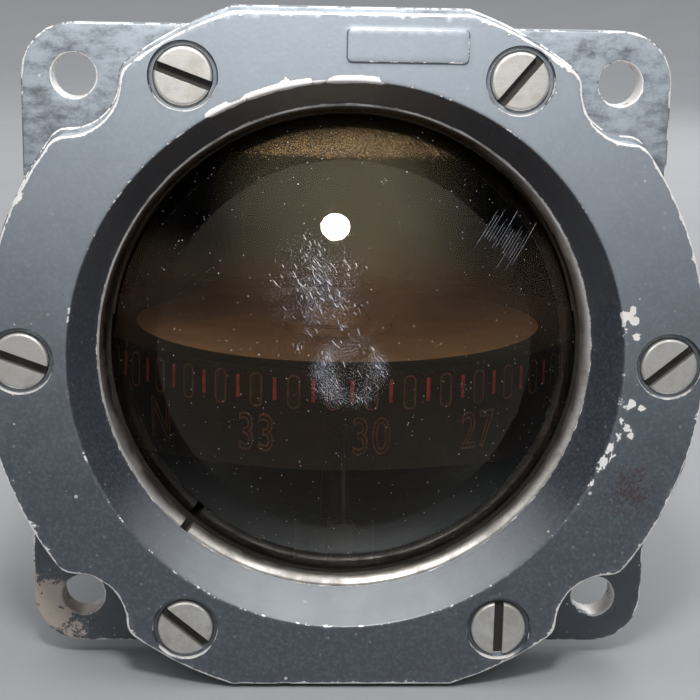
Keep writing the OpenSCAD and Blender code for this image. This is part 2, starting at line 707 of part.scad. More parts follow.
module card_float() color([0.68, 0.56, 0.30]) translate([0, pivot_y, float_bottom_z]) difference() {
  tube_r = stem_hole_r + tube_wall;
  cylinder(r = float_r, h = float_h);
  translate([0, 0, -cut]) difference() {
    cylinder(r = float_r - float_wall, h = float_h - float_wall + cut);
    cylinder(r = tube_r, h = float_h);
  }
  translate([0, 0, -cut])
    cylinder(r = stem_hole_r, h = pivot_z - setting_drop - air - float_bottom_z + cut);
  cylinder(r = hub_hole_r, h = float_h + cut);
}

module float_base() color([0.66, 0.54, 0.30]) translate([0, pivot_y, float_bottom_z - float_base_t])
  washer(float_r, stem_hole_r, float_base_t);

// The magnets lie along the card's north line, which the heading under the pointer turns
module at_magnets() translate([0, pivot_y, 0]) rotate([0, 0, card_heading - 270])
  for (side = [-1, 1]) translate([0, side * magnet_offset, magnet_z]) children();

module magnet_carrier() color([0.60, 0.48, 0.24]) difference() {
  union() {
    translate([0, pivot_y, carrier_top_z - carrier_t]) washer(carrier_out_r, carrier_in_r, carrier_t);
    at_magnets() translate([-cradle_l / 2, -cradle_w / 2, -cradle_drop])
      cube([cradle_l, cradle_w, 2 * cradle_drop + carrier_t / 2]);
  }
  at_magnets() rotate([0, 90, 0])
    cylinder(r = magnet_d / 2 + fixed_clear, h = cradle_l + 2 * cut, center = true, $fn = 48);
}

module card_magnets() color([0.30, 0.32, 0.36]) at_magnets() rotate([0, 90, 0])
  cylinder(d = magnet_d, h = magnet_len, center = true, $fn = 48);

// Filler and rear

module filler_plug() color([0.66, 0.60, 0.45]) {
  seat_z = barrel_r - filler_recess_depth + filler_washer_t;
  translate([0, filler_y, seat_z + filler_head_h])
    slotted_screw(2 * filler_head_r, filler_head_h, filler_d, seat_z - filler_boss_low_z, filler_slot_turn);
}

module filler_washer() color([0.25, 0.10, 0.08]) translate([0, filler_y, barrel_r - filler_recess_depth])
  washer(filler_head_r, filler_d / 2 + air, filler_washer_t);

module rear_gasket() color([0.12, 0.11, 0.10]) mounted() translate([0, 0, -diaphragm_y]) difference() {
  washer(cover_r, rear_open_r, rear_gasket_t);
  at_cover_screws() translate([0, 0, -cut])
    cylinder(r = cover_screw_d / 2 + air, h = rear_gasket_t + 2 * cut, $fn = 32);
}

// Corrugated disc: a flat centre, three waves and a flat clamped edge
module expansion_diaphragm() color([0.74, 0.60, 0.34]) mounted() translate([0, 0, -cover_y]) difference() {
  waves = 3;
  wave_in_r = cavity_r / 4;
  wave_out_r = cavity_r - cavity_step;
  steps = 36;
  crest = [for (i = [0:steps]) [wave_in_r + (wave_out_r - wave_in_r) * i / steps,
    wave_h * sin(360 * waves * i / steps)]];
  rotate_extrude() polygon(concat(
    [[0, 0]], crest, [[cover_r, 0], [cover_r, diaphragm_t]],
    [for (i = [steps:-1:0]) crest[i] + [0, diaphragm_t]], [[0, diaphragm_t]]));
  at_cover_screws() translate([0, 0, -cut])
    cylinder(r = cover_screw_d / 2 + air, h = diaphragm_t + 2 * cut, $fn = 32);
}

module rear_cover() color([0.20, 0.22, 0.26]) mounted() translate([0, 0, -comp_y]) difference() {
  union() {
    cylinder(r = drum_r, h = cover_h);
    translate([0, 0, cover_h - cover_flange_t]) cylinder(r = cover_r, h = cover_flange_t);
  }
  translate([0, 0, cover_wall]) cylinder(r = cavity_r, h = cover_h);
  translate([0, vent_z, -cut]) cylinder(d = vent_d, h = cover_wall + 2 * cut, $fn = 24);
  at_cover_screws() cylinder(r = cover_screw_d / 2 + air, h = cover_h + cut, $fn = 32);
  for (side = [-1, 1]) translate([side * foot_screw_x, 0, -cut])
    cylinder(r = cover_screw_d / 2 + thread_clear, h = cover_h - cover_flange_t + cut, $fn = 32);
}

module rear_cover_screws() color([0.72, 0.68, 0.60]) mounted()
  at_cover_screws() translate([0, 0, -cover_y - cover_flange_t - cover_head_h]) mirror([0, 0, 1])
    slotted_screw(cover_head_d, cover_head_h, cover_screw_d,
      cover_flange_t + diaphragm_t + rear_gasket_t + cover_screw_grip, cover_slot_turn);

// Compensator

module compensator_housing() color([0.22, 0.23, 0.26]) difference() {
  union() {
    translate([0, comp_y + foot_t, 0]) rotate([90, 0, 0]) linear_extrude(foot_t)
      polygon(round_rect(2 * foot_half_w, 2 * (housing_half_h - lid_t / 2), foot_corner_r));
    difference() {
      translate([-well_half_w - housing_wall, comp_y, -housing_half_h])
        cube([2 * (well_half_w + housing_wall), housing_back_y - comp_y, 2 * housing_half_h - lid_t]);
      translate([-well_half_w, comp_y + foot_t, floor_top_z])
        cube([2 * well_half_w, 2 * well_half_d, well_h + cut]);
    }
    at_lid_screws() translate([0, 0, floor_top_z - cut])
      cylinder(r = lid_boss_r, h = well_h + cut, $fn = 48);
  }
  for (x = [-outer_shaft_x, -inner_shaft_x, inner_shaft_x, outer_shaft_x])
    translate([x, shaft_y, -housing_half_h - cut])
      cylinder(r = journal_r + running_clear, h = housing_floor_t + 2 * cut, $fn = 32);
  at_lid_screws() translate([0, 0, lid_z - lid_screw_grip - hole_runout])
    cylinder(r = small_screw_d / 2 + thread_clear, h = lid_screw_grip + hole_runout + cut, $fn = 32);
  for (side = [-1, 1]) translate([side * foot_screw_x, comp_y - cut, 0]) rotate([-90, 0, 0])
    cylinder(r = cover_screw_d / 2 + air, h = foot_t + 2 * cut, $fn = 32);
}

module at_lid_screws() for (x = [-1, 1], y = [-1, 1])
  translate([x * lid_screw_x, shaft_y + y * lid_screw_d, 0]) children();

module compensator_lid() color([0.24, 0.25, 0.28]) difference() {
  translate([-well_half_w - housing_wall, comp_y + foot_t, lid_z])
    cube([2 * (well_half_w + housing_wall), housing_back_y - comp_y - foot_t, lid_t]);
  for (x = [-outer_shaft_x, outer_shaft_x]) translate([x, shaft_y, lid_z - cut])
    cylinder(r = neck_r + running_clear, h = lid_t + 2 * cut, $fn = 48);
  for (x = [-inner_shaft_x, inner_shaft_x]) translate([x, shaft_y, lid_z - cut])
    cylinder(r = journal_r + running_clear, h = blind_depth + cut, $fn = 32);
  at_lid_screws() translate([0, 0, lid_z - cut])
    cylinder(r = small_screw_d / 2 + lid_screw_clear, h = lid_t + 2 * cut, $fn = 32);
}

module compensator_lid_screws() color([0.72, 0.68, 0.60])
  at_lid_screws() translate([0, 0, lid_z + lid_t + small_head_h])
    slotted_screw(2 * small_screw_d, small_head_h, small_screw_d, lid_t + lid_screw_grip, lid_slot_turn);

module compensator_foot_screws() color([0.72, 0.68, 0.60])
  for (side = [-1, 1])
    translate([side * foot_screw_x, comp_y + foot_t + cover_head_h, 0]) rotate([-90, 0, 0])
      slotted_screw(cover_head_d, cover_head_h, cover_screw_d,
        foot_t + cover_h - cover_flange_t - hole_runout, foot_slot_turn * side);

module b_adjuster_spindle() color([0.74, 0.60, 0.32]) adjuster_spindle(-outer_shaft_x, b_slot_turn);
module b_adjuster_gear() color([0.76, 0.63, 0.36]) corrector_gear(-outer_shaft_x, 0);
module b_adjuster_magnet() color([0.30, 0.32, 0.36]) corrector_magnet(-outer_shaft_x, 0);
module b_follower_shaft() color([0.74, 0.60, 0.32]) follower_shaft(-inner_shaft_x);
module b_follower_gear() color([0.76, 0.63, 0.36]) corrector_gear(-inner_shaft_x, 0);
module b_follower_magnet() color([0.30, 0.32, 0.36]) corrector_magnet(-inner_shaft_x, 0);
module c_adjuster_spindle() color([0.74, 0.60, 0.32]) adjuster_spindle(outer_shaft_x, c_slot_turn);
module c_adjuster_gear() color([0.76, 0.63, 0.36]) corrector_gear(outer_shaft_x, 180);
module c_adjuster_magnet() color([0.30, 0.32, 0.36]) corrector_magnet(outer_shaft_x, 90);
module c_follower_shaft() color([0.74, 0.60, 0.32]) follower_shaft(inner_shaft_x);
module c_follower_gear() color([0.76, 0.63, 0.36]) corrector_gear(inner_shaft_x, 180);
module c_follower_magnet() color([0.30, 0.32, 0.36]) corrector_magnet(inner_shaft_x, 90);

bezel_ring();
bezel_screws();
glass_clamp_ring();
glass_dome();
glass_gasket();
bowl_casing();
lubber_bracket();
lubber_pointer();
lubber_screws();
pivot_post();
pivot_pin();
post_screw();
post_screw_washer();
jewel_cup();
jewel_setting();
card_dial();
card_float();
float_base();
magnet_carrier();
card_magnets();
filler_plug();
filler_washer();
rear_gasket();
expansion_diaphragm();
rear_cover();
rear_cover_screws();
compensator_housing();
compensator_lid();
compensator_lid_screws();
compensator_foot_screws();
b_adjuster_spindle();
b_adjuster_gear();
b_adjuster_magnet();
b_follower_shaft();
b_follower_gear();
b_follower_magnet();
c_adjuster_spindle();
c_adjuster_gear();
c_adjuster_magnet();
c_follower_shaft();
c_follower_gear();
c_follower_magnet();
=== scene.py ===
import math
import random
from contextlib import contextmanager

import bmesh
import bpy
from bpy.props import FloatProperty, FloatVectorProperty, IntProperty, PointerProperty
from mathutils import Matrix, Vector, kdtree, noise
from mathutils.geometry import delaunay_2d_cdt


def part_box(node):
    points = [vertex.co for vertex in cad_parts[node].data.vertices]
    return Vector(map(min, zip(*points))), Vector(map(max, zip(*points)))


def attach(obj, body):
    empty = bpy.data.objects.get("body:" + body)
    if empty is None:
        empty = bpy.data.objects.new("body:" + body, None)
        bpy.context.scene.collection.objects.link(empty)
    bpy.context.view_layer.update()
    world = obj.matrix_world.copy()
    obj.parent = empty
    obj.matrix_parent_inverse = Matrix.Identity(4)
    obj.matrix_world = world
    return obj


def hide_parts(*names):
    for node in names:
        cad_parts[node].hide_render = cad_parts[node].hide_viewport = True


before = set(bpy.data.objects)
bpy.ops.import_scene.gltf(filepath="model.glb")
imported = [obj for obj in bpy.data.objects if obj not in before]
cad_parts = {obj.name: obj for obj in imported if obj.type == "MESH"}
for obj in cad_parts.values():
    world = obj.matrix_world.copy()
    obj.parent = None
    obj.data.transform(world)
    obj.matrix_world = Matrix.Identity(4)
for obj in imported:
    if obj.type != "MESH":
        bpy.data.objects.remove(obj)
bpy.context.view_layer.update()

bl_info = {
    "name": "Panel compass dresser",
    "version": (1, 0, 0),
    "blender": (4, 5, 0),
    "location": "3D View > Sidebar > Compass",
    "description": "Dresses the packed panel compass with its finished pieces, finishes and stage",
    "category": "Object",
}

MM = 0.001

# Sizes of the CAD model in millimetres. A level is counted towards the
# window, so Y is minus the level.
RING_R = 45.174
RING_HALF_H = 42.903
SCALLOP_R = 6.0
SCALLOP_BLEND = 2.4
BOLT = 34.0
BOLT_HOLE_R = 2.75
FLANGE_HALF = 40.5
FLANGE_CORNER_R = 6.4
FLANGE_FRONT = 4.0
RING_FRONT = 9.0
BEZEL_FRONT = 14.0
BEZEL_INSET = 0.6
MOUTH_R = 34.35
FOOT_R = 31.3
FOOT_LEVEL = 7.6
SPIGOT_R = 33.1
SCREW_CIRCLE_R = 40.003
SCREW_HEAD_R = 3.5
SCREW_HEAD_H = 2.6
COUNTERBORE_R = 4.05
SLOT_TURNS = (40, 50, -20, -20, -40, 90)
PAD_SIZE = (14.4, 3.9)
PAD_PLACE = (6.5, 38.553)
PAD_RISE = 0.35
CLAMP_IN_R = 30.2
CLAMP_BOTTOM = 5.4
CLAMP_CUT_TURN = 229.0
CLAMP_CUT_W = 1.2
BORE_R = 33.4
GLASS_R = 40.0
GLASS_IN_R = 37.0
GLASS_CENTRE_Y = 21.17
GLASS_RIM_R = 33.1
GLASS_SEAT = 2.4
DOME_BASE_R = 29.9
LEDGE_FRONT = 1.2
LEDGE_BACK = -2.3
SEAT_R = 28.821
BARREL_R = 37.0
BARREL_END_Y = 56.112
CHAMBER_R = 33.8
RIM_FRONT_Y = 50.112
REAR_OPEN_R = 27.0
PIVOT_Y = 21.112
CARD_R = 25.531
CARD_TOP_Z = -2.0
CARD_BOTTOM_Z = -14.0
CARD_WALL = 0.6
HUB_R = 4.25
CARD_HEADING = 307
FILLER_Y = 38.112
FILLER_RECESS = (6.0, 4.0)
POST_RECESS = (4.6, 3.6)
FILLER_BOSS_Z = 29.5
POST_BOSS_Z = -29.0
BOSS_R = 9.0
FRONT_RING_IN_R = 34.5
FLANGE_IN_R = 36.0
COVER_SCREW_CIRCLE_R = 33.2
SMALL_SCREW_R = 2.75
LID_SCREW_R = 1.6

# Finer points of the dressed pieces, in millimetres.
COUNTERBORE_LIP = 0.14
SCREW_GAP = 0.05
CARD_DISC_R = 20.5
MARK_THICK = 0.04
BAR_LINE = 0.2
BAR_DROP = 0.75
TICK_DROP = 1.15
NUMERAL_DROP = 9.9
NUMERAL_SQUEEZE = 0.72
GLASS_ROWS = 40
FILM_LEVELS = (0.12, 0.16)
FLUID_LAP = 0.6
BARREL_PITCH = 1.6
BARREL_COLUMNS = 192
BARREL_SKIRT = ((34.6, -RING_FRONT), (34.6, -0.3), (38.0, -0.3), (37.9, 0.0), (37.3, 0.25), (37.06, 0.5))
BOSS_END = 34.4

# Places of the wear, the scuffs and the painted glint, in millimetres and degrees in the front view.
BARE_ARC = (85, 119)
CHIPPED_ARC = (-24, 12)
NICK_FLOOR = 0.22
NICK_DEPTH = 0.16
WORN_CORNER = (-38.0, -35.5)
WORN_CORNER_R = 8.5
UPPER_SCUFF = (-4.0, 9.5)
GLINT_RING_CENTRE = (0.2, 0.2)
GLINT_RING_R = 3.3
APEX_R = 1.6
APEX_SINK = 0.03
HATCH_PLACE = (19.4, 15.4)
HATCH_TURN = 52
HATCH_LINES = 15
HATCH_PITCH = 0.38

# Colours of dust, wear and thin films, and of painted sheen, shade and reflection.
PAINTED_SHEEN_COLOUR = (0.385, 0.425, 0.465)
DUST_AND_SHEEN_COLOUR = (0.52, 0.55, 0.585)
RUBBED_COLOUR = (0.16, 0.17, 0.185)
SPECK_COLOUR = (0.62, 0.62, 0.60)
FLECK_COLOUR = (0.30, 0.31, 0.32)
SLOT_SHADE_COLOUR = (0.030, 0.026, 0.021)
FILM_HIGH_COLOUR = (0.115, 0.097, 0.066)
FILM_LOW_COLOUR = (0.095, 0.057, 0.038)
GLASS_INDEX = 1.52
FLUID_INDEX = 1.4

# The photograph's camera, the floor and the two lamps, in millimetres.
CAMERA_PLACE = (-8.266, -204.124, 44.722)
CAMERA_AXES = ((0.99899542, -0.00894934, -0.04390978), (-0.040859, 0.22050804, -0.97452899),
               (0.01840385, 0.9753441, 0.21992086))
FLOOR_R = 1600.0
FLOOR_BEND_R = 500.0
KEY_PLACE, KEY_AIM = (-12.0, -165.0, 155.0), (-2.0, -15.0, 34.0)
REAR_PLACE, REAR_AIM = (350.0, 750.0, 550.0), (0.0, 30.0, 0.0)


class CompassShape(bpy.types.PropertyGroup):
    """Sizes of the dressed pieces that a user would change"""

    edge_round: FloatProperty(
        name="Edge rounding", description="Radius on the outer edges of the bezel and the casing",
        default=0.35 * MM, min=0.1 * MM, max=0.9 * MM, subtype="DISTANCE", unit="LENGTH")
    face_pitch: FloatProperty(
        name="Face pitch", description="Distance between the points on the painted front faces",
        default=0.5 * MM, min=0.4 * MM, max=3.0 * MM, subtype="DISTANCE", unit="LENGTH")
    wear_reach: FloatProperty(
        name="Wear reach", description="How far from an edge its paint can chip",
        default=1.8 * MM, min=0.3 * MM, max=4.0 * MM, subtype="DISTANCE", unit="LENGTH")
    fluid_level: FloatProperty(
        name="Fluid level", description="Height of the damping fluid above the window's centre",
        default=24.0 * MM, min=10.0 * MM, max=28.0 * MM, subtype="DISTANCE", unit="LENGTH")
    numeral_height: FloatProperty(
        name="Numeral height", description="Height of the numerals on the card",
        default=4.6 * MM, min=2.0 * MM, max=6.0 * MM, subtype="DISTANCE", unit="LENGTH")
    bar_size: FloatVectorProperty(
        name="Bar size", description="Width and height of the bar at every tenth degree",
        size=2, default=(1.5 * MM, 4.0 * MM), subtype="XYZ_LENGTH", unit="LENGTH")
    tick_size: FloatVectorProperty(
        name="Tick size", description="Width and height of the tick between two bars",
        size=2, default=(0.42 * MM, 2.7 * MM), subtype="XYZ_LENGTH", unit="LENGTH")
    scuff_count: IntProperty(
        name="Scuffs", description="Number of short scratches around the top of the dome",
        default=230, min=0, max=600)


class CompassFinish(bpy.types.PropertyGroup):
    """Colours that a user would change"""

    paint: FloatVectorProperty(
        name="Paint", description="Satin paint of the bezel and the casing",
        size=3, default=(0.034, 0.040, 0.050), min=0.0, max=1.0, subtype="COLOR")
    alloy: FloatVectorProperty(
        name="Bare alloy", description="Light alloy where the paint is gone",
        size=3, default=(0.92, 0.91, 0.89), min=0.0, max=1.0, subtype="COLOR")
    nickel: FloatVectorProperty(
        name="Nickel", description="Plating of the screws",
        size=3, default=(0.78, 0.765, 0.725), min=0.0, max=1.0, subtype="COLOR")
    brass: FloatVectorProperty(
        name="Aged brass", description="Brass of the inner pieces and the correctors",
        size=3, default=(0.60, 0.42, 0.17), min=0.0, max=1.0, subtype="COLOR")
    fluid: FloatVectorProperty(
        name="Fluid", description="Colour that the aged fluid lets through",
        size=3, default=(0.50, 0.41, 0.27), min=0.0, max=1.0, subtype="COLOR")
    mark: FloatVectorProperty(
        name="Bar outline", description="Outline of the bars and numerals",
        size=3, default=(0.095, 0.044, 0.020), min=0.0, max=1.0, subtype="COLOR")
    tick: FloatVectorProperty(
        name="Tick", description="Ticks at the fifth degrees",
        size=3, default=(0.22, 0.032, 0.026), min=0.0, max=1.0, subtype="COLOR")


class CompassStage(bpy.types.PropertyGroup):
    """Floor, light and camera"""

    floor: FloatVectorProperty(
        name="Floor", description="Colour of the floor",
        size=3, default=(0.40, 0.405, 0.42), min=0.0, max=1.0, subtype="COLOR")
    key_power: FloatProperty(
        name="Key light", description="Power of the small soft box above the camera",
        default=0.046, min=0.0, unit="POWER")
    rear_power: FloatProperty(
        name="Rear light", description="Power of the soft box behind the part",
        default=3.0, min=0.0, unit="POWER")
    horizon_light: FloatProperty(
        name="Light at eye level", description="Strength of the room's light from the sides",
        default=0.14, min=0.0, max=2.0)
    ceiling_light: FloatProperty(
        name="Light overhead", description="Strength of the room's light from above",
        default=1.22, min=0.0, max=2.0)
    lens: FloatProperty(
        name="Lens", description="Focal length on a 36 mm wide sensor", default=81.872, min=20.0, max=300.0)


# Meshes


@contextmanager
def opened(mesh):
    """A mesh open for editing, written back at the end."""
    work = bmesh.new()
    work.from_mesh(mesh)
    yield work
    work.to_mesh(mesh)
    work.free()


class Shell:
    """Points in millimetres with the wear of their edges, and faces, on the way to a closed mesh."""

    def __init__(self):
        self.points = []
        self.wear = []
        self.faces = []
        self.finish = []

    def add(self, points, wear=0.0):
        """New points with one wear, as a list of their numbers."""
        start = len(self.points)
        self.points += [Vector(point) for point in points]
        self.wear += [wear] * len(points)
        return list(range(start, len(self.points)))

    def face(self, corners, finish=0):
        """One face with the number of its finish."""
        self.faces.append(tuple(corners))
        self.finish.append(finish)

    def strip(self, rings, finish=0, closed=True):
        """Four-cornered faces between each ring and the next. A ring of one point is a pole."""
        for near, far in zip(rings, rings[1:]):
            count = max(len(near), len(far))
            for i in range(count if closed else count - 1):
                j = (i + 1) % count
                if len(near) == 1:
                    self.face((near[0], far[j], far[i]), finish)
                elif len(far) == 1:
                    self.face((near[i], near[j], far[0]), finish)
                else:
                    self.face((near[i], near[j], far[j], far[i]), finish)

    def fill(self, loops, flat, back, pitch, reach, finish=0, quiet=()):
        """Triangles between flat loops, with points scattered at a pitch.

        Wear fades within reach of the loops, apart from the quiet ones.
        """
        ids = [i for loop in loops for i in loop]
        spots = [Vector(flat(self.points[i])) for i in ids]
        borders = []
        for loop in loops:
            start = sum(len(border) for border in borders)
            borders.append(list(range(start, start + len(loop))))
        hushed = {i for loop in quiet for i in loop}
        near = nearest_among(spots)
        worn = nearest_among([spot for i, spot in zip(ids, spots) if i not in hushed])
        draw = random.Random(7)
        low = Vector((min(s.x for s in spots), min(s.y for s in spots)))
        high = Vector((max(s.x for s in spots), max(s.y for s in spots)))
        scattered = []
        for column in range(int((high.x - low.x) / pitch) + 1):
            for row in range(int((high.y - low.y) / pitch) + 1):
                spot = low + Vector((column + draw.uniform(-0.3, 0.3), row + draw.uniform(-0.3, 0.3))) * pitch
                if near.find((spot.x, spot.y, 0.0))[2] > 0.6 * pitch:
                    scattered.append(spot)
        found, _, triangles, origin, _, _ = delaunay_2d_cdt(spots + scattered, [], borders, 2, 1e-6)
        names = {}

        def name(k):
            if k not in names:
                source = origin[k][0] if origin[k] else len(ids)
                if source < len(ids):
                    names[k] = ids[source]
                else:
                    gap = worn.find((found[k].x, found[k].y, 0.0))[2]
                    gap = reach if gap is None else gap
                    names[k] = self.add([back(*found[k])], max(0.0, 1.0 - gap / reach) ** 2)[0]
            return names[k]

        for triangle in triangles:
            self.face([name(k) for k in triangle], finish)

    def mesh(self, label, *finishes):
        """The mesh in metres, facing outwards and smooth but for its sharp edges."""
        mesh = bpy.data.meshes.new(label)
        mesh.from_pydata([point * MM for point in self.points], [], self.faces)
        for finish in finishes:
            mesh.materials.append(finish_of(finish))
        mesh.polygons.foreach_set("material_index", self.finish)
        mesh.attributes.new("edge", "FLOAT", "POINT").data.foreach_set("value", self.wear)
        with opened(mesh) as work:
            bmesh.ops.recalc_face_normals(work, faces=work.faces)
        mark_directions(mesh)
        mesh.shade_smooth()
        mesh.set_sharp_from_angle(angle=math.radians(32))
        return mesh


def nearest_among(spots):
    """A search tree of flat points."""
    tree = kdtree.KDTree(len(spots))
    for k, spot in enumerate(spots):
        tree.insert((spot.x, spot.y, 0.0), k)
    tree.balance()
    return tree


def mark_directions(mesh):
    """How far each point faces up, where dust settles and a painted sheen is added, and forward, where a
    painted sheen is added.
    """
    normals = [vertex.normal.copy() for vertex in mesh.vertices]
    mesh.attributes.new("upward", "FLOAT", "POINT").data.foreach_set("value", [n.z for n in normals])
    mesh.attributes.new("forward", "FLOAT", "POINT").data.foreach_set("value", [-n.y for n in normals])


def add_piece(label, mesh, body, slot, *nodes):
    """A finished piece at the origin that rides on a body and stands for CAD nodes."""
    piece = loose_object(label, mesh)
    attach(piece, body)
    if nodes:
        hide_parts(*nodes)
    return piece


def polar(radius, turn):
    """A flat point at a turn in degrees."""
    return Vector((radius * math.cos(math.radians(turn)), radius * math.sin(math.radians(turn))))


def arc(centre, radius, start, stop, steps):
    """Points of an arc, without its first one."""
    return [Vector(centre) + polar(radius, start + (stop - start) * k / steps) for k in range(1, steps + 1)]


def circle(radius, steps=96, centre=(0.0, 0.0)):
    """Points of a circle from its right side, counter-clockwise."""
    return [Vector(centre) + polar(radius, 360 * k / steps) for k in range(steps)]


def front_outline(inset, parallel=0.0, pitch=0.7):
    """Outline of the front ring in the front view, moved in by the inset and then parallel to itself."""
    edge_r = RING_R - inset
    blend_far = edge_r - SCALLOP_BLEND
    notch = Vector((BOLT, BOLT))
    notch_r = SCALLOP_R + inset
    reach = notch_r + SCALLOP_BLEND
    swing = math.degrees(math.acos(
        (blend_far ** 2 + notch.length ** 2 - reach ** 2) / (2 * blend_far * notch.length)))
    low, high = polar(blend_far, 45 - swing), polar(blend_far, 45 + swing)
    low_turn = math.degrees(math.atan2(notch.y - low.y, notch.x - low.x))
    high_turn = math.degrees(math.atan2(notch.y - high.y, notch.x - high.x))
    flat_turn = math.degrees(math.asin((RING_HALF_H - inset) / edge_r))
    edge, blend, notch_r = edge_r - parallel, SCALLOP_BLEND - parallel, notch_r + parallel
    half_h = RING_HALF_H - inset - parallel

    def steps(radius, turn):
        return max(3, round(radius * math.radians(abs(turn)) / pitch))

    points = [Vector((edge, 0.0))]
    points += arc((0, 0), edge, 0, 45 - swing, steps(edge_r, 45 - swing))
    points += arc(low, blend, 45 - swing, low_turn, steps(SCALLOP_BLEND, low_turn - 45 + swing))
    points += arc(notch, notch_r, low_turn + 180, high_turn + 180, steps(SCALLOP_R, high_turn - low_turn))
    points += arc(high, blend, high_turn, 45 + swing, steps(SCALLOP_BLEND, 45 + swing - high_turn))
    points += arc((0, 0), edge, 45 + swing, flat_turn, steps(edge_r, flat_turn - 45 - swing))
    corner = Vector((math.sqrt(edge ** 2 - half_h ** 2), half_h))
    points[-1] = corner
    half_flat = math.sqrt(edge_r ** 2 - (RING_HALF_H - inset) ** 2)
    count = round(half_flat / pitch)
    points += [Vector((corner.x * (1 - k / count), half_h)) for k in range(1, count + 1)]
    half = points + [Vector((-p.x, p.y)) for p in reversed(points[:-1])]
    return half + [Vector((p.x, -p.y)) for p in reversed(half[1:-1])]


def rounded_box(width, height, radius, centre=(0.0, 0.0), pitch=0.7):
    """Outline of a rectangle with round corners, with points along its sides."""
    points = []
    for k in range(4):
        across, along = ((width, height), (height, width))[k % 2]
        turn = Matrix.Rotation(math.radians(90 * k), 2)
        middle = Vector((across / 2 - radius, along / 2 - radius))
        corner = [middle + polar(radius, 90 * j / 6) for j in range(7)]
        side = along - 2 * radius
        count = max(2, round(side / pitch))
        line = [Vector((across / 2, -along / 2 + radius + side * j / count)) for j in range(1, count)]
        points += [Vector(centre) + turn @ p for p in line + corner]
    return points


def edge_wear(step, steps):
    """Wear across a rounded edge, most in its middle."""
    return 1.15 if 0 < step < steps else 0.75


def rim_profile(low, high, low_round, high_round, reach, steps=3):
    """Offset, level and wear of the rings around a plate's edge, from its low face to its high one."""
    low_rows, high_rows = [], []
    for k in range(steps + 1):
        turn = math.radians(90 * k / steps)
        inward, drop, wear = 1 - math.cos(turn), 1 - math.sin(turn), edge_wear(k, steps)
        low_rows.insert(0, (low_round * inward, low + low_round * drop, wear))
        high_rows.append((high_round * inward, high - high_round * drop, wear))
    inner_low, inner_high = low + low_round + reach, high - high_round - reach
    if inner_low < inner_high:
        middle = [(0.0, inner_low, 0.0), (0.0, inner_high, 0.0)]
    else:
        middle = [(0.0, (low + high) / 2, 0.3)]
    return low_rows + middle + high_rows


def add_plate(shell, outline, holes, low, high, rounds, pitch, reach):
    """Closed plate between two levels. outline(d) moves in by d and a hole(d) out by d."""
    rows = rim_profile(low, high, *rounds, reach)
    rings = [shell.add([facing(p.x, p.y, level) for p in outline(d)], wear) for d, level, wear in rows]
    shell.strip(rings)
    low_loops, high_loops = [rings[0]], [rings[-1]]
    for hole, hole_round in holes:
        rows = rim_profile(low, high, hole_round, hole_round, reach)
        rings = [shell.add([facing(p.x, p.y, level) for p in hole(d)], 0.7 if d > 0.9 * hole_round else 1.3)
                 for d, level, _ in rows]
        shell.strip(rings)
        low_loops.append(rings[0])
        high_loops.append(rings[-1])
    for loops, level in ((low_loops, low), (high_loops, high)):
        shell.fill(loops, front_view, lambda u, v: facing(u, v, level), pitch, reach, quiet=loops[1:])


def facing(u, v, level):
    """A point of a front view at a forward level."""
    return Vector((u, -level, v))


def front_view(point):
    """A point as it is seen from the front."""
    return point.x, point.z


def add_lathe(shell, profile, columns, place, finish=0):
    """Closed or poled surface of revolution from (radius, level, wear) rows."""
    rings = []
    for radius, level, wear in profile:
        if radius < 1e-6:
            rings.append(shell.add([place(0.0, 0.0, level)], wear))
        else:
            rings.append(shell.add([place(p.x, p.y, level) for p in circle(radius, columns)], wear))
    shell.strip(rings, finish)
    return rings


# Geometry Nodes


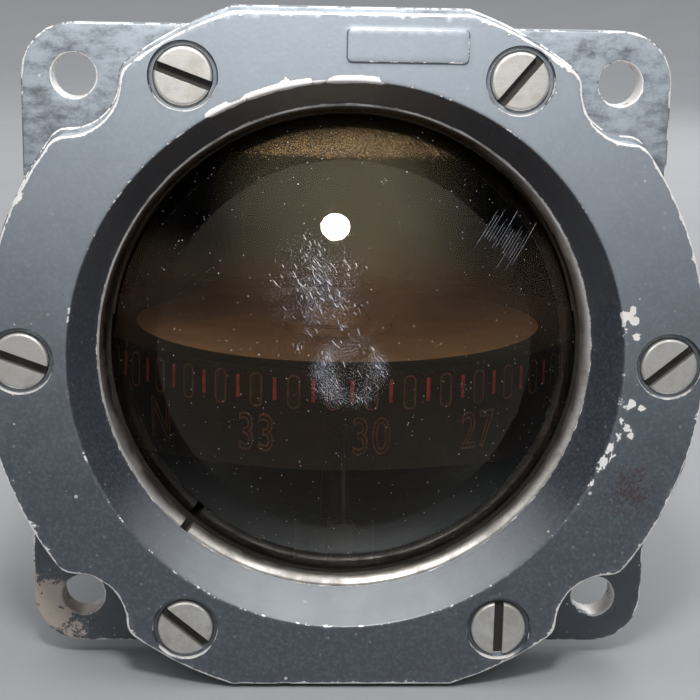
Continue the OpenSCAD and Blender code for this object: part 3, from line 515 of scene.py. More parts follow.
class Tree:
    """Short words for building a node tree."""

    def __init__(self, tree):
        self.tree = tree

    def node(self, kind, **settings):
        made = self.tree.nodes.new(kind)
        for key, value in settings.items():
            setattr(made, key, value)
        return made

    def put(self, socket, value):
        if isinstance(value, bpy.types.NodeSocket):
            self.tree.links.new(value, socket)
        elif value is not None:
            socket.default_value = value

    def wire(self, kind, inputs, out=0, **settings):
        """A node with its inputs set by name or number, giving back one output."""
        made = self.node(kind, **settings)
        for key, value in inputs.items():
            self.put(made.inputs[key], value)
        return made.outputs[out]

    def math(self, operation, a, b=0.0, clamp=False):
        return self.wire("ShaderNodeMath", {0: a, 1: b}, 0, operation=operation, use_clamp=clamp)

    def plus(self, a, b):
        return self.math("ADD", a, b)

    def minus(self, a, b, clamp=False):
        return self.math("SUBTRACT", a, b, clamp)

    def times(self, a, b):
        return self.math("MULTIPLY", a, b)

    def span(self, value, low, high, to_low=0.0, to_high=1.0):
        """A smooth step of a value between two limits."""
        return self.wire(
            "ShaderNodeMapRange",
            {"Value": value, "From Min": low, "From Max": high, "To Min": to_low, "To Max": to_high},
            "Result", interpolation_type="SMOOTHSTEP")

    def mix(self, factor, a, b):
        """A colour between two others."""
        made = self.node("ShaderNodeMix", data_type="RGBA")
        self.put(made.inputs[0], factor)
        for socket, value in ((made.inputs[6], a), (made.inputs[7], b)):
            self.put(socket, value if isinstance(value, bpy.types.NodeSocket) else (*value, 1.0)[:4])
        return made.outputs[2]

    def noise(self, vector, scale, detail=4.0, rough=0.55):
        return self.wire(
            "ShaderNodeTexNoise", {"Vector": vector, "Scale": scale, "Detail": detail, "Roughness": rough}, 0)

    def millimetres(self, stretch=(1.0, 1.0, 1.0)):
        """Object coordinates in millimetres, stretched where a grain has a direction."""
        place = self.node("ShaderNodeTexCoord").outputs["Object"]
        stretch = tuple(side / MM for side in stretch)
        return self.wire("ShaderNodeVectorMath", {0: place, 1: stretch}, 0, operation="MULTIPLY")

    def axes(self, vector):
        """The X, Y and Z of a vector."""
        made = self.node("ShaderNodeSeparateXYZ")
        self.put(made.inputs[0], vector)
        return made.outputs

    def distance(self, a, b):
        return self.wire("ShaderNodeVectorMath", {0: a, 1: b}, "Value", operation="DISTANCE")

    def attribute(self, name):
        """A value that the mesh holds at each of its points."""
        return self.node("ShaderNodeAttribute", attribute_name=name).outputs["Fac"]

    def bump(self, height, depth, distance=0.0001):
        return self.wire("ShaderNodeBump", {"Height": height, "Strength": depth, "Distance": distance}, 0)

    def effect(self, label, values):
        """A shared effect placed in a material with its own values."""
        made = self.node("ShaderNodeGroup", node_tree=bpy.data.node_groups[label])
        for key, value in values.items():
            self.put(made.inputs[key], value)
        return made.outputs


def node_tree(label, kind, inputs, outputs):
    """A node group with named sockets, as (words, input node, output node)."""
    tree = bpy.data.node_groups.new(label, kind)
    for name, socket_kind, default in inputs:
        made = tree.interface.new_socket(name, in_out="INPUT", socket_type=socket_kind)
        if default is not None:
            made.default_value = default
    for name, socket_kind in outputs:
        tree.interface.new_socket(name, in_out="OUTPUT", socket_type=socket_kind)
    words = Tree(tree)
    return words, words.node("NodeGroupInput"), words.node("NodeGroupOutput")


def grown_mesh(label, base, tree, values):
    """The mesh that a node tree grows on a base mesh, with the tree's inputs set by name."""
    holder = loose_object(label + "_base", base)
    modifier = holder.modifiers.new(label, "NODES")
    modifier.node_group = tree
    sockets = {item.name: item.identifier for item in tree.interface.items_tree if item.in_out == "INPUT"}
    for name, value in values.items():
        modifier[sockets[name]] = value
    mesh = evaluated_mesh(holder, label)
    if mesh.materials[0] is None:
        mesh.materials.pop(index=0)
    return mesh


def finished_tree(tree, start, end, copies):
    """The last steps of a tree: the copies made real and given the finish."""
    real = tree.wire("GeometryNodeRealizeInstances", {"Geometry": copies}, "Geometry")
    done = tree.wire(
        "GeometryNodeSetMaterial", {"Geometry": real, "Material": start.outputs["Finish"]}, "Geometry")
    tree.put(end.inputs["Geometry"], done)
    return tree.tree


def copies_tree():
    """One copy of an object on each point, turned by the point's own angles."""
    tree, start, end = node_tree(
        "Copies on points", "GeometryNodeTree",
        [("Points", "NodeSocketGeometry", None), ("Master", "NodeSocketObject", None),
         ("Finish", "NodeSocketMaterial", None)],
        [("Geometry", "NodeSocketGeometry")])
    master = tree.wire("GeometryNodeObjectInfo", {"Object": start.outputs["Master"]}, "Geometry")
    turn = tree.wire(
        "GeometryNodeInputNamedAttribute", {"Name": "turn"}, "Attribute", data_type="FLOAT_VECTOR")
    copies = tree.wire(
        "GeometryNodeInstanceOnPoints",
        {"Points": start.outputs["Points"], "Instance": master, "Rotation": turn}, "Instances")
    return finished_tree(tree, start, end, copies)


def dial_tree():
    """Copies of a mark around the card, each facing outwards."""
    tree, start, end = node_tree(
        "Marks around a dial", "GeometryNodeTree",
        [("Points", "NodeSocketGeometry", None), ("Mark", "NodeSocketObject", None),
         ("Count", "NodeSocketInt", 36), ("Radius", "NodeSocketFloat", 0.0255),
         ("First turn", "NodeSocketFloat", 0.0), ("Centre", "NodeSocketVector", None),
         ("Finish", "NodeSocketMaterial", None)],
        [("Geometry", "NodeSocketGeometry")])
    ring = tree.wire(
        "GeometryNodeMeshCircle",
        {"Vertices": start.outputs["Count"], "Radius": start.outputs["Radius"]}, "Mesh")
    place = tree.axes(tree.wire("GeometryNodeInputPosition", {}, "Position"))
    turn = tree.plus(tree.math("ARCTAN2", place["Y"], place["X"]), math.pi / 2)
    spin = tree.wire("ShaderNodeCombineXYZ", {"Z": turn}, "Vector")
    mark = tree.wire("GeometryNodeObjectInfo", {"Object": start.outputs["Mark"]}, "Geometry")
    copies = tree.wire(
        "GeometryNodeInstanceOnPoints", {"Points": ring, "Instance": mark, "Rotation": spin}, "Instances")
    whole = tree.wire("ShaderNodeCombineXYZ", {"Z": start.outputs["First turn"]}, "Vector")
    moved = tree.wire(
        "GeometryNodeTransform",
        {"Geometry": copies, "Translation": start.outputs["Centre"], "Rotation": whole}, "Geometry")
    return finished_tree(tree, start, end, moved)


def scatter_tree():
    """Random copies of a flake over a surface, lying flat on it."""
    tree, start, end = node_tree(
        "Flakes on a surface", "GeometryNodeTree",
        [("Surface", "NodeSocketGeometry", None), ("Flake", "NodeSocketObject", None),
         ("Density", "NodeSocketFloat", 1e6), ("Seed", "NodeSocketInt", 3),
         ("Least", "NodeSocketVector", None), ("Most", "NodeSocketVector", None),
         ("Turn", "NodeSocketFloat", 0.0), ("Lean", "NodeSocketFloat", 3.14),
         ("Finish", "NodeSocketMaterial", None)],
        [("Geometry", "NodeSocketGeometry")])
    weight = tree.wire("GeometryNodeInputNamedAttribute", {"Name": "edge"}, "Attribute", data_type="FLOAT")
    spread = tree.node("GeometryNodeDistributePointsOnFaces")
    tree.put(spread.inputs["Mesh"], start.outputs["Surface"])
    tree.put(spread.inputs["Density"], tree.times(weight, start.outputs["Density"]))
    tree.put(spread.inputs["Seed"], start.outputs["Seed"])
    turn, lean = start.outputs["Turn"], start.outputs["Lean"]
    limits = {2: tree.minus(turn, lean), 3: tree.plus(turn, lean)}
    angle = tree.wire("FunctionNodeRandomValue", limits, 1, data_type="FLOAT")
    spin = tree.wire("ShaderNodeCombineXYZ", {"Z": angle}, "Vector")
    turned = tree.node("FunctionNodeRotateRotation", rotation_space="LOCAL")
    tree.put(turned.inputs[0], spread.outputs["Rotation"])
    tree.put(turned.inputs[1], spin)
    size = tree.node("FunctionNodeRandomValue", data_type="FLOAT_VECTOR")
    tree.put(size.inputs[0], start.outputs["Least"])
    tree.put(size.inputs[1], start.outputs["Most"])
    flake = tree.wire("GeometryNodeObjectInfo", {"Object": start.outputs["Flake"]}, "Geometry")
    copies = tree.wire(
        "GeometryNodeInstanceOnPoints",
        {"Points": spread.outputs["Points"], "Instance": flake, "Rotation": turned.outputs[0],
         "Scale": size.outputs[0]}, "Instances")
    return finished_tree(tree, start, end, copies)


def loose_object(label, data):
    """An object in the scene that belongs to no body."""
    made = bpy.data.objects.new(label, data)
    bpy.context.scene.collection.objects.link(made)
    return made


def evaluated_mesh(holder, label):
    """The mesh of an object with its modifiers applied. The object goes."""
    depsgraph = bpy.context.evaluated_depsgraph_get()
    mesh = bpy.data.meshes.new_from_object(holder.evaluated_get(depsgraph), depsgraph=depsgraph)
    mesh.name = label
    bpy.data.objects.remove(holder)
    return mesh


def soften(holder, width, angle):
    """Narrow rounds on the edges of an object that are sharper than an angle."""
    bevel = holder.modifiers.new("soften", "BEVEL")
    bevel.width = width * MM
    bevel.segments = 2
    bevel.limit_method = "ANGLE"
    bevel.angle_limit = math.radians(angle)


# Shared shader effects


def chipped_edges_group():
    """Mask of chipped paint: along edges where the noise lets it, and in spots where wear was added."""
    words, start, end = node_tree(
        "Chipped edges", "ShaderNodeTree",
        [("Edge", "NodeSocketFloat", 0.0), ("Scale", "NodeSocketFloat", 0.5),
         ("Amount", "NodeSocketFloat", 0.5)],
        [("Chips", "NodeSocketFloat"), ("Rub", "NodeSocketFloat")])
    place = words.millimetres()
    coarse = words.noise(place, start.outputs["Scale"], 5.0, 0.62)
    fine = words.noise(place, 2.6, 3.0, 0.6)
    both = words.plus(words.times(coarse, 0.75), words.times(fine, 0.25))
    push = words.times(start.outputs["Edge"], start.outputs["Amount"])
    level = words.plus(both, push)
    words.put(end.inputs["Chips"], words.span(level, 0.93, 0.96))
    words.put(end.inputs["Rub"], words.span(level, 0.72, 0.98))
    return words.tree


def specks_group():
    """Mask of small round specks, each with its own size."""
    words, start, end = node_tree(
        "Dust specks", "ShaderNodeTree",
        [("Scale", "NodeSocketFloat", 0.5), ("Size", "NodeSocketFloat", 0.1)],
        [("Specks", "NodeSocketFloat")])
    place = words.millimetres()
    cells = words.node("ShaderNodeTexVoronoi")
    words.put(cells.inputs["Vector"], place)
    words.put(cells.inputs["Scale"], start.outputs["Scale"])
    channels = words.node("ShaderNodeSeparateColor")
    words.put(channels.inputs[0], cells.outputs["Color"])
    own = words.times(words.math("POWER", channels.outputs[0], 5.0), start.outputs["Size"])
    gap = words.minus(own, cells.outputs["Distance"])
    words.put(end.inputs["Specks"], words.span(gap, 0.0, 0.02))
    return words.tree


def mottle_group():
    """Cloudy variation at two sizes and a fine grain."""
    words, start, end = node_tree(
        "Mottle", "ShaderNodeTree",
        [("Scale", "NodeSocketFloat", 0.1), ("Grain", "NodeSocketFloat", 4.0)],
        [("Cloud", "NodeSocketFloat"), ("Grain", "NodeSocketFloat")])
    place = words.millimetres()
    cloud = words.noise(place, start.outputs["Scale"], 6.0, 0.6)
    words.put(end.inputs["Cloud"], words.span(cloud, 0.3, 0.7))
    words.put(end.inputs["Grain"], words.noise(place, start.outputs["Grain"], 2.0, 0.5))
    return words.tree


def scratches_group():
    """Fine scratches in two directions."""
    words, start, end = node_tree(
        "Fine scratches", "ShaderNodeTree",
        [("Scale", "NodeSocketFloat", 1.0), ("Amount", "NodeSocketFloat", 0.5)],
        [("Scratches", "NodeSocketFloat")])
    total = None
    for turn, stretch in ((0.5, (0.06, 1.0, 1.3)), (-0.8, (1.2, 1.0, 0.05))):
        place = words.node("ShaderNodeTexCoord").outputs["Object"]
        turned = words.wire(
            "ShaderNodeMapping",
            {"Vector": place, "Rotation": (0.0, turn, 0.0), "Scale": tuple(1000 * s for s in stretch)}, 0)
        lines = words.noise(turned, start.outputs["Scale"], 2.0, 0.4)
        mask = words.span(lines, 0.66, 0.70)
        total = mask if total is None else words.math("MAXIMUM", total, mask)
    words.put(end.inputs["Scratches"], words.times(total, start.outputs["Amount"]))
    return words.tree


def new_material(label, values):
    """A node material with constant values on its shader, as (material, words, shader node)."""
    material = bpy.data.materials.new(label)
    material.use_nodes = True
    material.node_tree.nodes.clear()
    words = Tree(material.node_tree)
    shader = words.node("ShaderNodeBsdfPrincipled")
    for name, value in values.items():
        shader.inputs[name].default_value = value
    out = words.node("ShaderNodeOutputMaterial")
    words.put(out.inputs["Surface"], shader.outputs[0])
    return material, words, shader


def shaded(colour, *factors):
    """A colour made lighter or darker by one factor, or by one for each channel."""
    return tuple(c * f for c, f in zip(colour, factors * (3 // len(factors))))


def paint_material(label, colour, alloy, chips, rough, haze, patchy, dust_and_sheen_amount, stain):
    """Satin paint that chips to bare alloy along worn edges.

    Its forward faces carry a painted sheen that grows from one height to another, lighter towards the top,
    and where it faces up it carries dust and a painted sheen. The stain is given by its centre, its reach,
    its colour on paint and its colour on bare metal.
    """
    material, words, shader = new_material(label, {"IOR": 2.0, "Specular Tint": (0.90, 0.96, 1.0, 1.0)})
    place = words.millimetres()
    worn = words.effect(
        "Chipped edges", {"Edge": words.attribute("edge"), "Scale": chips[0], "Amount": chips[1]})
    mottle = words.effect("Mottle", {"Scale": 0.22, "Grain": 2.4})
    specks = words.effect("Dust specks", {"Scale": 0.42, "Size": 0.13})["Specks"]
    flecks = words.effect("Dust specks", {"Scale": 1.1, "Size": 0.26})["Specks"]
    base = words.mix(mottle["Cloud"], shaded(colour, 0.92), shaded(colour, 1.08))
    base = words.mix(words.span(mottle["Grain"], 0.42, 0.72, 0.0, 0.6), base, shaded(colour, 2.3))
    base = words.mix(words.times(flecks, 0.35), base, FLECK_COLOUR)
    # painted sheen: forward faces lighter towards the top, from one height to another
    height = words.plus(words.axes(place)["Z"], words.times(mottle["Cloud"], 2.0))
    ahead = words.span(words.attribute("forward"), 0.55, 0.95)
    painted_sheen = words.times(words.span(height, *haze, 0.0, 0.95), ahead)
    if patchy:
        smoke = words.noise(words.millimetres((0.7, 1.0, 1.3)), 0.34, 8.0, 0.78)
        painted_sheen = words.times(painted_sheen, words.minus(1.0, words.times(words.span(smoke, 0.40, 0.68), patchy)))
    base = words.mix(painted_sheen, base, PAINTED_SHEEN_COLOUR)
    # dust and painted sheen: lighter where the surface faces up
    dust_and_sheen = words.times(words.span(words.attribute("upward"), 0.40, 0.98, 0.0, dust_and_sheen_amount),
                          words.span(mottle["Cloud"], 0.0, 1.0, 0.88, 1.0))
    base = words.mix(dust_and_sheen, base, DUST_AND_SHEEN_COLOUR)
    base = words.mix(words.times(worn["Rub"], 0.3), base, RUBBED_COLOUR)
    centre, reach, on_paint, on_metal = stain
    gap = words.distance(place, centre)
    inside = words.span(gap, reach, reach * 0.7)
    flecked = words.plus(words.noise(place, 2.6, 3.0, 0.7), words.span(gap, reach, 0.0, 0.0, 0.22))
    base = words.mix(words.times(words.span(flecked, 0.63, 0.68), inside), base, on_paint)
    base = words.mix(words.times(specks, 0.8), base, SPECK_COLOUR)
    bare = words.mix(mottle["Cloud"], alloy, shaded(alloy, 0.92, 0.87, 0.83))
    bare = words.mix(inside, bare, on_metal)
    words.put(shader.inputs["Base Color"], words.mix(worn["Chips"], base, bare))
    words.put(shader.inputs["Metallic"], words.times(worn["Chips"], 0.15))
    words.put(shader.inputs["Roughness"], words.span(mottle["Grain"], 0.3, 0.7, *rough))
    relief = words.minus(words.times(mottle["Grain"], 0.4), worn["Chips"])
    words.put(shader.inputs["Normal"], words.bump(relief, 0.35, 0.00012))
    return material


def metal_material(label, colour, dull, rough, grain=(1.0, 1.0, 1.0), tarnish=0.5, rubbed=False,
                   painted_slot_shade=False):
    """Metal with tarnish, a fine grain and scratches.

    On the clamp ring the edge attribute marks where the metal shows bright, and the rest is darkened to the
    dull colour as tarnish and painted shade; on a metal with painted_slot_shade it marks how far a painted
    shade darkens a screw's slot.
    """
    material, words, shader = new_material(label, {"Metallic": 1.0})
    mottle = words.effect("Mottle", {"Scale": 0.35, "Grain": 5.0})
    lines = words.effect("Fine scratches", {"Scale": 9.0, "Amount": 0.2})["Scratches"]
    grained = words.noise(words.millimetres(grain), 3.0, 3.0, 0.6)
    dulled = words.times(mottle["Cloud"], tarnish)
    if rubbed:
        # painted shade: where the edge attribute is low, the clamp ring is darkened to its dull colour
        dulled = words.math("MAXIMUM", dulled, words.minus(1.0, words.attribute("edge"), clamp=True))
    base = words.mix(dulled, colour, dull)
    base = words.mix(words.times(lines, 0.5), base, tuple(min(1.0, c * 1.25) for c in colour))
    # painted shade: the screw slot darkens towards its floor
    if painted_slot_shade:
        slot_shade = words.attribute("edge")
        base = words.mix(slot_shade, base, SLOT_SHADE_COLOUR)
        words.put(shader.inputs["Metallic"], words.minus(1.0, slot_shade, clamp=True))
    words.put(shader.inputs["Base Color"], base)
    level = words.plus(words.span(mottle["Cloud"], 0.0, 1.0, *rough), words.times(grained, 0.12))
    words.put(shader.inputs["Roughness"], level)
    height = words.minus(words.times(grained, 0.6), lines)
    words.put(shader.inputs["Normal"], words.bump(height, 0.25, 0.00006))
    return material


def plain_material(label, colour, other, rough, scale=0.4, grain=4.0, depth=0.2, shine=0.5):
    """Matt or satin surface that varies between two colours."""
    material, words, shader = new_material(label, {"Specular IOR Level": shine})
    mottle = words.effect("Mottle", {"Scale": scale, "Grain": grain})
    words.put(shader.inputs["Base Color"], words.mix(mottle["Cloud"], colour, other))
    words.put(shader.inputs["Roughness"], words.span(mottle["Grain"], 0.2, 0.8, *rough))
    words.put(shader.inputs["Normal"], words.bump(mottle["Grain"], depth, 0.00008))
    return material


def let_light_through(material, words, shader, colour):
    """Shadow rays pass a clear piece, tinted, so that lamps light what is behind it."""
    clear = words.node("ShaderNodeBsdfTransparent")
    clear.inputs["Color"].default_value = (*colour, 1.0)
    path = words.node("ShaderNodeLightPath")
    mixed = words.node("ShaderNodeMixShader")
    words.put(mixed.inputs[0], path.outputs["Is Shadow Ray"])
    words.put(mixed.inputs[1], shader.outputs[0])
    words.put(mixed.inputs[2], clear.outputs[0])
    out = next(n for n in material.node_tree.nodes if n.type == "OUTPUT_MATERIAL")
    words.put(out.inputs["Surface"], mixed.outputs[0])
    return out


def glass_material(label, bend):
    """Old clear glass. Its bend is its index over that of what lies behind the surface."""
    material, words, shader = new_material(label, {
        "Base Color": (0.97, 0.95, 0.90, 1.0), "Transmission Weight": 1.0, "IOR": bend,
        "Specular Tint": (0.50, 0.45, 0.35, 1.0)})
    haze = words.effect("Mottle", {"Scale": 0.16, "Grain": 2.0})
    lines = words.effect("Fine scratches", {"Scale": 0.7, "Amount": 1.0})["Scratches"]
    rough = words.plus(words.span(haze["Cloud"], 0.6, 1.0, 0.0, 0.02), words.times(lines, 0.06))
    words.put(shader.inputs["Roughness"], rough)
    let_light_through(material, words, shader, (0.92, 0.91, 0.88))
    return material


def film_material():
    """Thin brown deposit that clouds the glass from inside: a painted reflection high up and a band just
    above the card.
    """
    material, words, shader = new_material("brown_film", {"Specular IOR Level": 0.1})
    mottle = words.effect("Mottle", {"Scale": 0.07, "Grain": 0.8})
    place = words.axes(words.millimetres())
    rise = place["Z"]
    colour = words.mix(words.span(rise, 9.0, 16.0), FILM_LOW_COLOUR, FILM_HIGH_COLOUR)
    words.put(shader.inputs["Base Color"], colour)
    across = words.wire("ShaderNodeCombineXYZ", {"X": place["X"], "Z": rise}, 0)
    # painted reflection: a veil centred high on the glass stands in for the room's light reflected in the
    # dome
    painted_reflection = words.span(words.distance(across, (0.0, 0.0, 17.0)), 18.0, 2.0, 0.0, 0.25)
    band = words.times(words.span(rise, -2.0, 6.0, 0.0, 0.10), words.span(rise, 16.0, 9.0))
    cloud = words.span(mottle["Cloud"], 0.0, 1.0, 0.6, 1.0)
    words.put(shader.inputs["Alpha"], words.times(words.plus(painted_reflection, band), cloud))
    words.put(shader.inputs["Roughness"], words.span(mottle["Grain"], 0.2, 0.8, 0.6, 0.9))
    return material


def fluid_material(colour):
    """Clear fluid that takes up light on its way through. The wetted glass bends the light for it."""
    material, words, shader = new_material("aged_fluid", {
        "Base Color": (1.0, 1.0, 1.0, 1.0), "Transmission Weight": 1.0, "IOR": 1.0, "Roughness": 0.0})
    out = let_light_through(material, words, shader, (0.96, 0.96, 0.96))
    soak = words.node("ShaderNodeVolumeAbsorption")
    soak.inputs["Color"].default_value = (*colour, 1.0)
    soak.inputs["Density"].default_value = 45.0
    words.put(out.inputs["Volume"], soak.outputs[0])
    return material


def jewel_material():
    """Polished red stone."""
    material, words, shader = new_material("ruby_jewel", {"Transmission Weight": 0.6, "Roughness": 0.08})
    cloud = words.effect("Mottle", {"Scale": 0.8, "Grain": 6.0})["Cloud"]
    words.put(shader.inputs["Base Color"], words.mix(cloud, (0.55, 0.04, 0.09), (0.70, 0.09, 0.15)))
    return material


def finish_of(label):
    """A material by name, made by the finishes operator."""
    return bpy.data.materials[label]


class COMPASS_OT_finishes(bpy.types.Operator):
    """Make the shared shader effects and the materials"""

    bl_idname = "compass.finishes"
    bl_label = "Make finishes"

    def execute(self, context):
        for build in (chipped_edges_group, specks_group, mottle_group, scratches_group):
            build()
        colours = context.scene.compass_finish
        paint, alloy = tuple(colours.paint), tuple(colours.alloy)
        mark, tick = tuple(colours.mark), tuple(colours.tick)
        # haze gives the heights over which the painted sheen grows on forward faces.
        paint_material("bezel_paint", paint, alloy, chips=(0.55, 0.50), rough=(0.38, 0.44),
                       haze=(-20.0, 68.0), patchy=0.0, dust_and_sheen_amount=0.85,
                       stain=((35.9, -14.0, -15.9), 4.8, (0.030, 0.010, 0.011), alloy))
        # The casing's paint is the bezel's paint darkened to 0.6, a painted shade over the casing behind the
        # bezel.
        paint_material("casing_paint", shaded(paint, 0.6), alloy, chips=(0.4, 0.40), rough=(0.42, 0.54),
                       haze=(-20.0, 44.0), patchy=0.8, dust_and_sheen_amount=0.35,
                       stain=((-38.0, -4.0, -36.0), 7.5, (0.22, 0.165, 0.13), (0.50, 0.405, 0.345)))
        metals = (
            # The clamp ring's dull colour serves for its tarnish and for its painted shade.
            ("clamp_alloy", (0.84, 0.80, 0.75), (0.045, 0.030, 0.020), (0.32, 0.52),
             dict(tarnish=0.6, rubbed=True)),
            ("screw_nickel", tuple(colours.nickel), (0.42, 0.39, 0.345), (0.38, 0.60),
             dict(grain=(0.2, 1, 2.0), tarnish=0.75, painted_slot_shade=True)),
            ("old_brass", tuple(colours.brass), (0.25, 0.15, 0.06), (0.3, 0.55), dict(tarnish=0.8)),
            ("polished_steel", (0.55, 0.56, 0.60), (0.40, 0.40, 0.42), (0.15, 0.3), dict(tarnish=0.3)),
            ("dark_steel", (0.20, 0.21, 0.24), (0.12, 0.10, 0.09), (0.4, 0.6), {}),
        )
        for label, colour, dull, rough, more in metals:
            metal_material(label, colour, dull, rough, **more)
        plains = (
            ("bowl_inside", (0.010, 0.010, 0.006), (0.020, 0.019, 0.012), (0.5, 0.8), 0.05, dict(shine=0.1)),
            ("dark_bronze", (0.009, 0.007, 0.005), (0.005, 0.004, 0.003), (0.4, 0.6), 0.5, dict(shine=0.2)),
            ("black_rubber", (0.018, 0.017, 0.016), (0.035, 0.033, 0.030), (0.6, 0.9), 0.5,
             dict(grain=5.0, depth=0.4)),
            ("red_fibre", (0.20, 0.05, 0.035), (0.12, 0.035, 0.025), (0.6, 0.85), 0.9,
             dict(grain=6.0, depth=0.5)),
            ("card_band", (0.009, 0.006, 0.005), (0.013, 0.008, 0.007), (0.5, 0.75), 0.5, dict(shine=0.1)),
            ("card_disc", (0.36, 0.235, 0.145), (0.26, 0.17, 0.105), (0.5, 0.75), 0.12, dict(shine=0.1)),
            ("card_rim", (0.006, 0.006, 0.005), (0.010, 0.010, 0.008), (0.5, 0.7), 0.5, dict(shine=0.1)),
            ("mark_outline", mark, shaded(mark, 0.4), (0.5, 0.8), 0.9, dict(shine=0.1)),
            ("mark_filling", (0.013, 0.009, 0.007), (0.018, 0.012, 0.009), (0.6, 0.9), 0.9, dict(shine=0.1)),
            ("tick_red", tick, shaded(tick, 0.5), (0.5, 0.8), 0.8, dict(shine=0.1)),
            ("scuff", (0.80, 0.83, 0.90), (0.38, 0.40, 0.47), (0.25, 0.5), 0.9, {}),
            ("dried_residue", (0.30, 0.18, 0.07), (0.14, 0.085, 0.035), (0.3, 0.6), 0.5, {}),
            ("residue_grain", (0.85, 0.62, 0.30), (0.50, 0.32, 0.12), (0.2, 0.4), 1.1, {}),
        )
        for label, colour, other, rough, scale, more in plains:
            plain_material(label, colour, other, rough, scale, **more)
        glass_material("dome_glass", GLASS_INDEX)
        glass_material("wetted_glass", GLASS_INDEX / FLUID_INDEX)
        film_material()
        fluid_material(tuple(colours.fluid))
        jewel_material()
        return {"FINISHED"}


# Front


